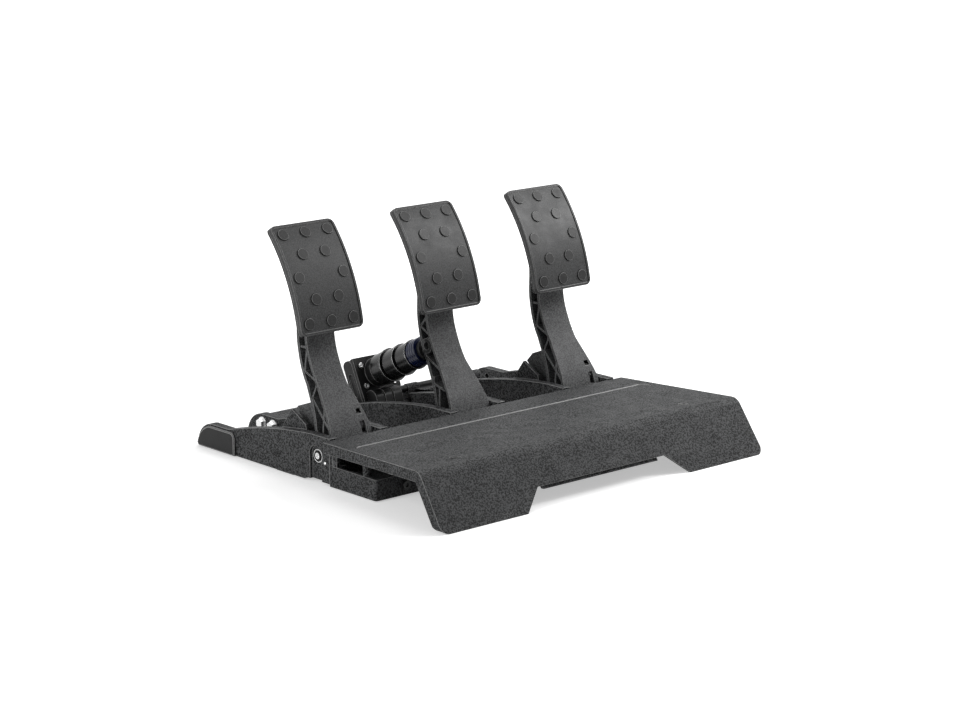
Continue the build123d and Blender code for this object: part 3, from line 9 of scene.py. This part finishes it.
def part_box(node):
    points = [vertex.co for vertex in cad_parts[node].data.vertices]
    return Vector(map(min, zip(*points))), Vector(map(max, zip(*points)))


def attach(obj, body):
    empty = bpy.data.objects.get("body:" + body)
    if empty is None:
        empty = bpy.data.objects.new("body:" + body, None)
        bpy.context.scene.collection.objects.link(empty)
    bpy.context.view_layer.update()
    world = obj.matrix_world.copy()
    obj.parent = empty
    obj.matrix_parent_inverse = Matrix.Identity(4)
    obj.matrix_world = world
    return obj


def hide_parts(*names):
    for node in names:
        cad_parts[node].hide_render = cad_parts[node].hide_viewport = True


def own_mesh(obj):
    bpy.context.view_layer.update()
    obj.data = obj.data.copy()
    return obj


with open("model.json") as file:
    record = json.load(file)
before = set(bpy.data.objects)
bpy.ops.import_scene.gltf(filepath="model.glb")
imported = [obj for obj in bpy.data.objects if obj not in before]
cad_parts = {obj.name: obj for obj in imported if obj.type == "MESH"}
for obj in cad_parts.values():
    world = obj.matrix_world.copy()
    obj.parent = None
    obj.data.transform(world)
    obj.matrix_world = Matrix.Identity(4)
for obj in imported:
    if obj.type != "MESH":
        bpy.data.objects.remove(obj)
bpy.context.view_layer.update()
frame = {"nodes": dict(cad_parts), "record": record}
nodes = frame["nodes"]
bodies = frame["record"]["behaviour"]["bodies"]
body_of = {node: body for body, members in bodies.items() for node in members}
slot_of = {row["node"]: row["material_slot"] for row in frame["record"]["subparts"]}

MM = 0.001
ACROSS = Vector((1.0, 0.0, 0.0))
REARWARD = Vector((0.0, 1.0, 0.0))
PEDAL_X = {"left": -150.0 * MM, "middle": 0.0, "right": 150.0 * MM}

# ---------------------------------------------------------------- camera
CAMERA_PLACE = (-1.7021, -1.9236, 0.6950)
CAMERA_TILT = radians(76.791)
CAMERA_TURN = radians(-41.709)
CAMERA_LENS = 101.37
SENSOR_WIDTH = 36.0

camera_data = bpy.data.cameras.new("camera")
camera_data.sensor_width = SENSOR_WIDTH
camera_data.lens = CAMERA_LENS
camera = bpy.data.objects.new("camera", camera_data)
camera.location = CAMERA_PLACE
camera.rotation_euler = (CAMERA_TILT, 0.0, CAMERA_TURN)
bpy.context.scene.collection.objects.link(camera)
bpy.context.scene.camera = camera
bpy.context.scene.view_settings.view_transform = "Standard"

# ---------------------------------------------------------------- finishes
NOISE_MEAN = 0.5
COLOUR_RANGE = (0.25, 0.75)
GLOSS_RANGE = (0.28, 0.72)
GRAIN_IN_GLOSS = 0.45
SMUDGE_SHARE = 0.31          # the size of a smudge, as a share of a cloud's
SCRATCH_GRAINS = 2.0         # the width of a scratch, in grains
SCRATCH_TURN = (0.4, 0.2, 0.9)
SCRATCH_STRETCH = (0.06, 1.0, 1.0)
COAT_ROUGHNESS = 0.2


def new_node(tree, kind, inputs=(), **settings):
    """A shader node with its settings made and its inputs filled or linked."""
    made = tree.nodes.new("ShaderNode" + kind)
    for name, value in settings.items():
        setattr(made, name, value)
    for name, value in inputs:
        if isinstance(value, bpy.types.NodeSocket):
            tree.links.new(value, made.inputs[name])
        else:
            made.inputs[name].default_value = value
    return made


def noise(tree, where, size, detail, roughness):
    """Noise whose blotches have about the given size in metres."""
    made = new_node(tree, "TexNoise", (
        ("Vector", where), ("Scale", 1.0 / size), ("Detail", detail), ("Roughness", roughness)))
    return made.outputs["Fac"]


def weighted(tree, first, share, second):
    """The first value moved by the given share of how far the second is from its mean."""
    centred = new_node(tree, "Math", ((0, second), (1, NOISE_MEAN)),
                       operation="SUBTRACT").outputs[0]
    return new_node(tree, "Math", ((0, centred), (1, share), (2, first)),
                    operation="MULTIPLY_ADD").outputs[0]


def spread(tree, value, usual, wanted):
    """A value stretched from its usual range to the wanted one."""
    made = new_node(tree, "MapRange", (
        (0, value), (1, usual[0]), (2, usual[1]), (3, wanted[0]), (4, wanted[1])))
    return made.outputs[0]


def finish_of(name, dark, light, rough, patch, grain, relief, metal=0.0, specular=0.5,
              coat=0.0, speckle=0.6, drift=0.3, scratch=0.0):
    """A moulded, painted or plated surface: fine grain, slow colour drift, uneven gloss, relief.

    Patch, grain and relief are in metres; speckle, drift and scratch are shares."""
    material = bpy.data.materials.new(name)
    material.use_nodes = True
    tree = material.node_tree
    shader = tree.nodes["Principled BSDF"]
    where = tree.nodes.new("ShaderNodeTexCoord").outputs["Object"]
    cloud = noise(tree, where, patch, 4.0, 0.6)
    fine = noise(tree, where, grain, 2.0, 0.5)
    toned = weighted(tree, weighted(tree, NOISE_MEAN, speckle, fine), drift, cloud)
    blend = spread(tree, toned, COLOUR_RANGE, (0.0, 1.0))
    colour = new_node(tree, "Mix", ((0, blend), (6, (*dark, 1.0)), (7, (*light, 1.0))),
                      data_type="RGBA").outputs[2]
    tree.links.new(colour, shader.inputs["Base Color"])
    smudge = noise(tree, where, patch * SMUDGE_SHARE, 3.0, 0.7)
    gloss = spread(tree, weighted(tree, smudge, GRAIN_IN_GLOSS, fine), GLOSS_RANGE, rough)
    tree.links.new(gloss, shader.inputs["Roughness"])
    height = fine
    if scratch:
        drawn = new_node(tree, "Mapping", (("Vector", where), ("Rotation", SCRATCH_TURN),
                                           ("Scale", SCRATCH_STRETCH))).outputs[0]
        lines = noise(tree, drawn, grain * SCRATCH_GRAINS, 2.0, 0.7)
        height = weighted(tree, fine, scratch, lines)
    bump = new_node(tree, "Bump", (("Height", height), ("Distance", relief), ("Strength", 1.0)))
    tree.links.new(bump.outputs[0], shader.inputs["Normal"])
    shader.inputs["Metallic"].default_value = metal
    shader.inputs["Specular IOR Level"].default_value = specular
    shader.inputs["Coat Weight"].default_value = coat
    shader.inputs["Coat Roughness"].default_value = COAT_ROUGHNESS
    return material


def grey(level, tint=0.0):
    """A linear grey with a slight cool tint."""
    return (level * (1.0 - tint), level, level * (1.0 + tint))


finishes = {
    "frame_plastic": finish_of("grained_frame_plastic", grey(0.001, 0.02), grey(0.086, 0.02),
                               (0.50, 0.72), 0.05, 0.0015, 0.0003, specular=0.16, speckle=3.4,
                               drift=0.12),
    "arm_plastic": finish_of("fine_grained_arm_plastic", grey(0.030, 0.015), grey(0.120, 0.015),
                             (0.46, 0.62), 0.07, 0.0013, 0.00014, specular=0.2, speckle=2.2,
                             drift=0.12),
    "satin_plastic": finish_of("satin_cover_plastic", grey(0.005, 0.01), grey(0.012, 0.01),
                               (0.30, 0.44), 0.06, 0.0010, 0.00004, specular=0.2, speckle=0.9),
    "pad_rubber": finish_of("pad_rubber", grey(0.020, 0.01), grey(0.056, 0.01),
                            (0.36, 0.52), 0.06, 0.0011, 0.00008, specular=0.25, speckle=1.8,
                            drift=0.15),
    "backing_steel": finish_of("painted_backing_steel", grey(0.012, 0.01), grey(0.024, 0.01),
                               (0.36, 0.50), 0.05, 0.0009, 0.00003, specular=0.3),
    "zinc_steel": finish_of("zinc_plated_steel", grey(0.66), grey(0.84),
                            (0.20, 0.36), 0.012, 0.0008, 0.000012, metal=1.0, scratch=0.5),
    "black_oxide": finish_of("black_oxide_steel", grey(0.010), grey(0.022),
                             (0.30, 0.42), 0.01, 0.0007, 0.00001, specular=0.35),
    "dark_aluminium": finish_of("black_anodised_aluminium", grey(0.004, 0.03), grey(0.009, 0.03),
                                (0.20, 0.32), 0.02, 0.0006, 0.000008, specular=0.30, coat=0.15),
    "spring_steel": finish_of("drawn_spring_steel", grey(0.34), grey(0.5),
                              (0.24, 0.38), 0.01, 0.0006, 0.00001, metal=1.0, scratch=0.6),
    "bronze": finish_of("sintered_bronze", (0.38, 0.24, 0.11), (0.56, 0.38, 0.20),
                        (0.36, 0.5), 0.01, 0.0007, 0.00002, metal=1.0),
    "blue_elastomer": finish_of("blue_elastomer", (0.002, 0.005, 0.022), (0.004, 0.011, 0.060),
                                (0.14, 0.26), 0.02, 0.0009, 0.00003, specular=0.5),
    "black_rubber": finish_of("black_rubber", grey(0.008), grey(0.014),
                              (0.62, 0.76), 0.02, 0.0008, 0.00004, specular=0.2),
    "board_green": finish_of("lacquered_board", (0.012, 0.10, 0.035), (0.02, 0.16, 0.06),
                             (0.22, 0.36), 0.01, 0.0006, 0.00001, coat=0.4),
    # Lighter copies of the finishes above, for the rounded edges: a painted highlight.
    "frame_edge": finish_of("painted_highlight_frame_edge", grey(0.11), grey(0.24),
                            (0.34, 0.5), 0.05, 0.0012, 0.00005, speckle=1.2),
    "arm_edge": finish_of("painted_highlight_arm_edge", grey(0.12), grey(0.22),
                          (0.34, 0.5), 0.05, 0.0012, 0.00004, speckle=1.2),
    "pad_edge": finish_of("painted_highlight_pad_edge", grey(0.10), grey(0.19),
                          (0.34, 0.5), 0.05, 0.0012, 0.00004, speckle=1.2),
    "dark_edge": finish_of("painted_highlight_anodised_edge", grey(0.26), grey(0.52),
                           (0.2, 0.34), 0.02, 0.0009, 0.00001, metal=0.8, speckle=1.0),
    "pad_shade": finish_of("shaded_stud_foot", grey(0.001), grey(0.004),
                           (0.5, 0.66), 0.05, 0.0011, 0.00006, specular=0.1, speckle=1.0),
    # The stud tops' own darker colour, made darker still as painted shade round the studs.
    "pad_stud": finish_of("pad_stud", grey(0.008), grey(0.022),
                          (0.36, 0.5), 0.05, 0.0011, 0.00006, specular=0.25, speckle=1.4),
    "arm_web": finish_of("shaded_arm_web", grey(0.008), grey(0.016),
                         (0.5, 0.66), 0.05, 0.0011, 0.00006, specular=0.1, speckle=1.0),
}
# Which lighter edge finish each finish takes on its rounded edges: a painted highlight.
edge_of = {"frame_plastic": "frame_edge", "satin_plastic": "frame_edge",
           "arm_plastic": "arm_edge", "pad_rubber": "pad_edge",
           "backing_steel": "pad_edge", "dark_aluminium": "dark_edge"}

# ---------------------------------------------------------------- pieces
# Slot EDGE is a painted highlight on rounded edges. Slots WEB and SHADE are painted shade. Slot
# STUD is the darker stud tops.
EDGE, WEB, SHADE, STUD = 1, 2, 3, 4      # a piece's material slots after its own finish
SMOOTH_ANGLE = radians(42.0)
SHARP_ANGLE = radians(35.0)
FLAT_ANGLE = radians(0.7)
MERGE_DISTANCE = 0.002 * MM
EDGE_STEPS = 2
FACING_ACROSS = 0.9


def piece(name, bm, finish, even=True):
    """A finished mesh object from a bmesh, shaded smooth over all but its sharp edges."""
    mesh = bpy.data.meshes.new(name)
    bm.to_mesh(mesh)
    bm.free()
    mesh.polygons.foreach_set("use_smooth", [True] * len(mesh.polygons))
    mesh.set_sharp_from_angle(angle=SMOOTH_ANGLE)
    made = bpy.data.objects.new(name, mesh)
    bpy.context.scene.collection.objects.link(made)
    for one in (finish, edge_of.get(finish, finish), "arm_web", "pad_shade", "pad_stud"):
        mesh.materials.append(finishes[one])
    if even:
        made.modifiers.new("even_shading", "WEIGHTED_NORMAL").keep_sharp = True
    return made


def merged_copy(node):
    """A bmesh of a CAD node with its loose triangles joined and its flat faces made whole."""
    bm = bmesh.new()
    bm.from_mesh(nodes[node].data)
    bmesh.ops.remove_doubles(bm, verts=bm.verts, dist=MERGE_DISTANCE)
    bmesh.ops.dissolve_degenerate(bm, dist=MERGE_DISTANCE, edges=bm.edges)
    bmesh.ops.dissolve_limit(bm, angle_limit=FLAT_ANGLE, verts=bm.verts, edges=bm.edges)
    for layer in [one for one in bm.loops.layers.float_vector if "normal" in one.name]:
        bm.loops.layers.float_vector.remove(layer)
    return bm


# Every pad follows an arc in the plane across its pedal; its studs are in rows along the arc,
# each row with its place along and its studs' places across, in millimetres.
PLATE_CENTRE = (209.0 * MM, 110.6 * MM)
PLATE_RADIUS = 184.7 * MM
PLATE_MIDDLE = radians(154.2)
FIELD_HALF_WIDTH = 35.2 * MM
FIELD_HALF_LENGTH = 52.4 * MM
FIELD_DEPTH = 1.0 * MM
STUD_ROWS = ((-44.5, (-26.5, 0.0, 26.5)), (-22.5, (-13.5, 13.5)), (0.0, (-26.5, 26.5)),
             (22.5, (-13.5, 13.5)), (44.5, (-26.5, 0.0, 26.5)))
STUD_CORE = 2.6 * MM
STUD_AREA = 110.0 * MM * MM
STUD_LIP = 0.75 * MM


def shade_studs(bm, x):
    """Marks a pad's stud tops with their own darker colour, darkened further as painted shade, and
    the foot of studs and rim with painted shade.
    """
    studs = [(dx * MM, along * MM) for along, offsets in STUD_ROWS for dx in offsets]
    for face in bm.faces:
        centre = face.calc_center_median()
        angle = atan2(centre.z - PLATE_CENTRE[1], centre.y - PLATE_CENTRE[0])
        across, along = centre.x - x, (PLATE_MIDDLE - angle) * PLATE_RADIUS
        lift = hypot(centre.z - PLATE_CENTRE[1], centre.y - PLATE_CENTRE[0]) - PLATE_RADIUS
        beside = abs(across) > FIELD_HALF_WIDTH or abs(along) > FIELD_HALF_LENGTH
        if beside or lift < -FIELD_DEPTH:
            continue
        near = min(hypot(across - sx, along - sa) for sx, sa in studs)
        if near < STUD_CORE and face.calc_area() < STUD_AREA:
            face.material_index = STUD
        elif face.material_index == EDGE and lift < STUD_LIP:
            face.material_index = SHADE


WEB_HALF = 4.0 * MM
BOSS = (46.5 * MM, 100.9 * MM)
BOSS_RADIUS = 6.0 * MM


def shade_web(bm, x):
    """Marks as shaded the faces of an arm's thin web, and of the boss of its clevis pin."""
    for face in bm.faces:
        centre = face.calc_center_median()
        in_web = abs(centre.x - x) < WEB_HALF
        in_boss = hypot(centre.y - BOSS[0], centre.z - BOSS[1]) < BOSS_RADIUS
        if abs(face.normal.x) > FACING_ACROSS and (in_web or in_boss):
            face.material_index = WEB


def softened(node, finish, width, arm_x=None, pad_x=None):
    """Stands for a CAD node: the same shape with its sharp edges rounded and given a lighter
    painted highlight.

    An arm or a pad also gives its pedal's place, for its shaded faces."""
    bm = merged_copy(node)
    if arm_x is not None:
        shade_web(bm, arm_x)
    sharp = [edge for edge in bm.edges
             if len(edge.link_faces) == 2 and edge.calc_face_angle(0.0) > SHARP_ANGLE]
    rounded = bmesh.ops.bevel(bm, geom=sharp, offset=width, offset_type="OFFSET", affect="EDGES",
                              segments=EDGE_STEPS, profile=0.5, material=-1,
                              clamp_overlap=False)
    # The rounded edges take the lighter edge finish: a painted highlight.
    for face in rounded["faces"]:
        face.material_index = EDGE
    lowest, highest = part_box(node)
    for vert in bm.verts:
        vert.co = [min(max(at, low), high) for at, low, high in zip(vert.co, lowest, highest)]
    if pad_x is not None:
        shade_studs(bm, pad_x)
    made = piece(node + "_body", bm, finish)
    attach(made, body_of[node])
    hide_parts(node)


frame_nodes = ("module_left", "module_middle", "module_right", "front_beam", "heel_plate",
               "heel_posts", "skirt_lip", "rear_link_left", "rear_link_right")
for node in frame_nodes:
    softened(node, "frame_plastic", 0.4 * MM)
for node in ("end_cover_left", "end_cover_right"):
    softened(node, "satin_plastic", 0.5 * MM)
for side, x in PEDAL_X.items():
    softened("arm_" + side, "arm_plastic", 0.3 * MM, arm_x=x)
    softened("plate_" + side, "backing_steel", 0.3 * MM)
    softened("pad_" + side, "pad_rubber", 0.35 * MM, pad_x=x)
for node in ("link_bolts", "axle_bolts", "cell_screws"):
    softened(node, "zinc_steel", 0.2 * MM)
for node in ("frame_screws", "brake_plunger", "clevis_pin", "cell_pin"):
    softened(node, "black_oxide", 0.2 * MM)
for node in ("brake_cup_1", "brake_cup_2", "brake_cup_3"):
    softened(node, "dark_aluminium", 0.3 * MM)
for node in ("cell_front", "cell_housing", "cell_sides", "cross_tube"):
    softened(node, "satin_plastic", 0.3 * MM)

# ---------------------------------------------------------------- springs
SEAT_PIN = Vector((0.0, 81.0, 13.5)) * MM
CAP_PIN = Vector((0.0, 51.0, 56.0)) * MM
SPRING_START = 7.0 * MM
SPRING_RADIUS = 8.6 * MM
SPRING_TURNS = 6
SPRING_EASING = 0.53         # how much closer the turns lie at both ends
WIRE_RADIUS = 1.1 * MM
WIRE_CLEARANCE = 0.05 * MM
WIRE_SIDES = 14
STEPS_PER_TURN = 32

spring_way = (CAP_PIN - SEAT_PIN).normalized()
spring_length = (CAP_PIN - SEAT_PIN).length - 2 * SPRING_START


def axis_place(origin, way, across=ACROSS):
    """The matrix that puts Z along the given way and X across it, at the origin given."""
    side = across.normalized()
    up = way.normalized()
    third = up.cross(side)
    return Matrix.Translation(origin) @ Matrix((side, third, up)).transposed().to_4x4()


def coil_frame(share):
    """Place and direction of the coil's wire, the given share of its way up."""
    rise = spring_length - 2 * WIRE_RADIUS - 2 * WIRE_CLEARANCE
    height = rise * (share - SPRING_EASING * sin(2 * pi * share) / (2 * pi))
    slope = rise * (1 - SPRING_EASING * cos(2 * pi * share)) / (2 * pi * SPRING_TURNS)
    angle = 2 * pi * SPRING_TURNS * share
    point = Vector((SPRING_RADIUS * cos(angle), SPRING_RADIUS * sin(angle),
                    WIRE_RADIUS + WIRE_CLEARANCE + height))
    ahead = Vector((-SPRING_RADIUS * sin(angle), SPRING_RADIUS * cos(angle), slope))
    outward = Vector((cos(angle), sin(angle), 0.0))
    return axis_place(point, ahead, outward)


for side, joint in (("left", "clutch_cap_slide"), ("right", "throttle_cap_slide")):
    bm = bmesh.new()
    bmesh.ops.create_circle(bm, cap_ends=True, radius=WIRE_RADIUS, segments=WIRE_SIDES)
    bmesh.ops.transform(bm, matrix=coil_frame(0.0), verts=bm.verts)
    ring = list(bm.edges)
    steps = STEPS_PER_TURN * SPRING_TURNS
    for step in range(steps):
        grown = bmesh.ops.extrude_edge_only(bm, edges=ring)["geom"]
        ring = [part for part in grown if isinstance(part, bmesh.types.BMEdge)
                and all(len(v.link_faces) == 2 for v in part.verts) and len(part.link_faces) == 1]
        verts = [part for part in grown if isinstance(part, bmesh.types.BMVert)]
        turn = coil_frame((step + 1) / steps) @ coil_frame(step / steps).inverted()
        bmesh.ops.transform(bm, matrix=turn, verts=verts)
    bmesh.ops.holes_fill(bm, edges=ring, sides=WIRE_SIDES)
    bmesh.ops.recalc_face_normals(bm, faces=bm.faces)
    start = SEAT_PIN + spring_way * SPRING_START + ACROSS * PEDAL_X[side]
    bmesh.ops.transform(bm, matrix=axis_place(start, spring_way), verts=bm.verts)
    spring = piece("coil_" + side, bm, "spring_steel", even=False)
    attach(spring, body_of["spring_" + side])
    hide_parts("spring_" + side)
    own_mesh(spring)

# ---------------------------------------------------------------- turned pieces
ROUND_STEPS = 64
SEAM_DISTANCE = 0.001 * MM


def turned(profile, place):
    """A bmesh of a closed profile of (height, radius) in millimetres, turned round its axis."""
    bm = bmesh.new()
    ring = [bm.verts.new((radius * MM, 0.0, height * MM)) for height, radius in profile]
    for first, second in zip(ring, ring[1:] + ring[:1]):
        bm.edges.new((first, second))
    bmesh.ops.spin(bm, geom=list(bm.verts) + list(bm.edges), cent=(0.0, 0.0, 0.0),
                   axis=(0.0, 0.0, 1.0), angle=2 * pi, steps=ROUND_STEPS, use_merge=True)
    bmesh.ops.remove_doubles(bm, verts=bm.verts, dist=SEAM_DISTANCE)
    bmesh.ops.recalc_face_normals(bm, faces=bm.faces)
    bmesh.ops.transform(bm, matrix=place, verts=bm.verts)
    return bm


def turned_across(profile, places):
    """A bmesh of one profile turned at several places, each an origin and a way across the set."""
    bm = bmesh.new()
    for origin, way in places:
        part = turned(profile, axis_place(origin, ACROSS * way, REARWARD))
        made = bpy.data.meshes.new("turned_part")
        part.to_mesh(made)
        part.free()
        bm.from_mesh(made)
        bpy.data.meshes.remove(made)
    return bm


# ---------------------------------------------------------------- brake barrel
BRAKE_PIN = Vector((0.0, 46.5, 100.9)) * MM
BRAKE_ANGLE = radians(25.5)
BRAKE_WAY = Vector((0.0, cos(BRAKE_ANGLE), -sin(BRAKE_ANGLE)))
brake_place = axis_place(BRAKE_PIN, BRAKE_WAY)


# The elastomer's ends and radius, its corners and its grooves, in millimetres.
ROD_BORE = 4.4
ELASTOMER_START = 24.0
ELASTOMER_END = 38.4
ELASTOMER_RADIUS = 14.4
END_PLAY = 0.05
CORNER_LENGTH = 0.5
CORNER_DEPTH = 0.5
FACE_DEPTH = 1.2
GROOVES = 3
GROOVE_HALF = 0.9
GROOVE_FLANK = 0.45
FLANK_DEPTH = 0.7
GROOVE_DEPTH = 0.95

groove_pitch = (ELASTOMER_END - ELASTOMER_START) / (GROOVES + 1)
wall = [(ELASTOMER_START + END_PLAY, ROD_BORE),
        (ELASTOMER_START + END_PLAY, ELASTOMER_RADIUS - FACE_DEPTH),
        (ELASTOMER_START + CORNER_LENGTH, ELASTOMER_RADIUS - CORNER_DEPTH)]
for i in range(GROOVES + 1):
    low = ELASTOMER_START + i * groove_pitch
    high = low + groove_pitch
    wall += [(low + GROOVE_HALF, ELASTOMER_RADIUS), (high - GROOVE_HALF, ELASTOMER_RADIUS)]
    if i < GROOVES:
        wall += [(high - GROOVE_FLANK, ELASTOMER_RADIUS - FLANK_DEPTH),
                 (high, ELASTOMER_RADIUS - GROOVE_DEPTH),
                 (high + GROOVE_FLANK, ELASTOMER_RADIUS - FLANK_DEPTH)]
wall += [(ELASTOMER_END - CORNER_LENGTH, ELASTOMER_RADIUS - CORNER_DEPTH),
         (ELASTOMER_END - END_PLAY, ELASTOMER_RADIUS - FACE_DEPTH),
         (ELASTOMER_END - END_PLAY, ROD_BORE)]
elastomer = piece("elastomer", turned(wall, brake_place), "blue_elastomer")
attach(elastomer, body_of["brake_elastomer"])
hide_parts("brake_elastomer")
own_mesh(elastomer)

# A disc fills the gap in front of each of these seats and reaches into the cup there.
DISC_BORE = 4.5
DISC_RADIUS = 10.5
DISC_CORNER = 0.4
CUP_RECESS = 5.0
CUP_GAP = 2.25
disc_seats = ((58.4, "brake_cup_centre"), (78.9, "brake_cup_rear"), (98.9, "brake_cell"))
for i, (seat, body) in enumerate(disc_seats, 1):
    low = seat - CUP_GAP - CUP_RECESS
    wall = [(low, DISC_BORE), (low, DISC_RADIUS - DISC_CORNER), (low + DISC_CORNER, DISC_RADIUS),
            (seat - DISC_CORNER, DISC_RADIUS), (seat, DISC_RADIUS - DISC_CORNER),
            (seat, DISC_BORE)]
    disc = piece("disc_" + str(i), turned(wall, brake_place), "blue_elastomer")
    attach(disc, body)
    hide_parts("brake_discs")
    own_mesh(disc)

# ---------------------------------------------------------------- hinge bolts and wall rivet
# Profiles of (height, radius) in millimetres; the hinge's heights are from the pedal's middle.
HINGE = Vector((0.0, 8.2, 27.0)) * MM
RIVET = Vector((-185.5, -3.8, 22.2)) * MM
LIP_PROFILE = ((33.2, 5.5), (33.2, 6.8), (34.0, 6.7), (34.4, 6.3), (34.4, 5.9), (34.0, 5.5))
RING_PROFILE = ((33.2, 2.9), (33.2, 5.2), (34.85, 5.2), (35.3, 4.75), (35.3, 3.1), (35.0, 2.9))
RIVET_PROFILE = ((-0.3, 0.0), (-0.3, 1.5), (0.25, 1.5), (0.6, 1.1), (0.75, 0.5), (0.8, 0.0))
hinge_ends = [(HINGE + ACROSS * x, way) for x in PEDAL_X.values() for way in (-1, 1)]

lips = piece("hinge_washer_lips", turned_across(LIP_PROFILE, hinge_ends), "zinc_steel")
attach(lips, "base")

rings = piece("hinge_bolt_rings", turned_across(RING_PROFILE, hinge_ends), "black_rubber")
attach(rings, "base")

rivet = piece("wall_rivet", turned_across(RIVET_PROFILE, [(RIVET, -1)]), "zinc_steel")
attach(rivet, "base")

# ---------------------------------------------------------------- CAD pieces that stay as they are
for node, shown in nodes.items():
    if shown.hide_render:
        continue
    shown.data.materials.clear()
    shown.data.materials.append(finishes[slot_of[node]])

# ---------------------------------------------------------------- floor and world
WHITE = (1.0, 1.0, 1.0, 1.0)
FLOOR_TONE = (0.86, 0.86, 0.86, 1.0)
FLOOR_SIZE = 6.0
FLOOR_CELLS = 8
GLOW_REACH = (0.32, 0.95)    # how far out the floor's glow starts and ends to grow
GLOW_STRENGTH = (0.46, 1.1)
WORLD_STRENGTH = 0.23
SHOWN_STRENGTH = 1.0


def seen_rays(tree):
    """One for a ray from the camera, a mirror reflection or a clear piece, else zero."""
    path = tree.nodes.new("ShaderNodeLightPath").outputs
    first = new_node(tree, "Math", ((0, path["Is Camera Ray"]), (1, path["Is Transmission Ray"])),
                     operation="MAXIMUM").outputs[0]
    return new_node(tree, "Math", ((0, first), (1, path["Is Glossy Ray"])),
                    operation="MAXIMUM").outputs[0]


def shown_or_lit(tree, shown, lit):
    """One shader where it is seen and another where it only gives light."""
    return new_node(tree, "MixShader", ((0, seen_rays(tree)), (1, lit), (2, shown))).outputs[0]


bm = bmesh.new()
bmesh.ops.create_grid(bm, x_segments=FLOOR_CELLS, y_segments=FLOOR_CELLS, size=FLOOR_SIZE)
floor_mesh = bpy.data.meshes.new("floor")
bm.to_mesh(floor_mesh)
bm.free()
floor = bpy.data.objects.new("floor", floor_mesh)
bpy.context.scene.collection.objects.link(floor)
floor_finish = bpy.data.materials.new("pale_floor")
floor_finish.use_nodes = True
tree = floor_finish.node_tree
tree.nodes.remove(tree.nodes["Principled BSDF"])
pale = new_node(tree, "BsdfDiffuse", (("Color", FLOOR_TONE),)).outputs[0]
floor_place = tree.nodes.new("ShaderNodeTexCoord").outputs["Object"]
away = new_node(tree, "VectorMath", ((0, floor_place),), operation="LENGTH").outputs["Value"]
lift = spread(tree, away, GLOW_REACH, GLOW_STRENGTH)
glow = new_node(tree, "Emission", (("Color", WHITE), ("Strength", lift))).outputs[0]
glowing = new_node(tree, "AddShader", ((0, pale), (1, glow))).outputs[0]
tree.links.new(shown_or_lit(tree, glowing, pale), tree.nodes["Material Output"].inputs["Surface"])
floor_mesh.materials.append(floor_finish)

world = bpy.data.worlds.new("studio")
bpy.context.scene.world = world
world.use_nodes = True
tree = world.node_tree
back = tree.nodes["Background"]
back.inputs["Color"].default_value = WHITE
back.inputs["Strength"].default_value = WORLD_STRENGTH
bright = new_node(tree, "Background", (("Color", WHITE), ("Strength", SHOWN_STRENGTH))).outputs[0]
tree.links.new(shown_or_lit(tree, bright, back.outputs[0]),
               tree.nodes["World Output"].inputs["Surface"])


# ---------------------------------------------------------------- lamps
def softbox(name, place, aim, width, height, power):
    """A rectangular lamp that looks from its place at a point."""
    lamp = bpy.data.lights.new(name, "AREA")
    lamp.shape = "RECTANGLE"
    lamp.size = width
    lamp.size_y = height
    lamp.energy = power
    made = bpy.data.objects.new(name, lamp)
    made.location = place
    made.rotation_euler = (Vector(aim) - Vector(place)).to_track_quat("-Z", "Y").to_euler()
    bpy.context.scene.collection.objects.link(made)


softbox("front_right_box", place=(0.85, -0.38, 0.75), aim=(0.1, 0.0, 0.12),
        width=0.5, height=0.5, power=8.7)
softbox("top_box", place=(0.35, 0.45, 1.3), aim=(0.1, 0.0, 0.0),
        width=0.9, height=0.9, power=8.0)
softbox("left_strip", place=(-1.4, 0.0, 0.5), aim=(0.0, 0.0, 0.05),
        width=0.4, height=1.2, power=9.0)
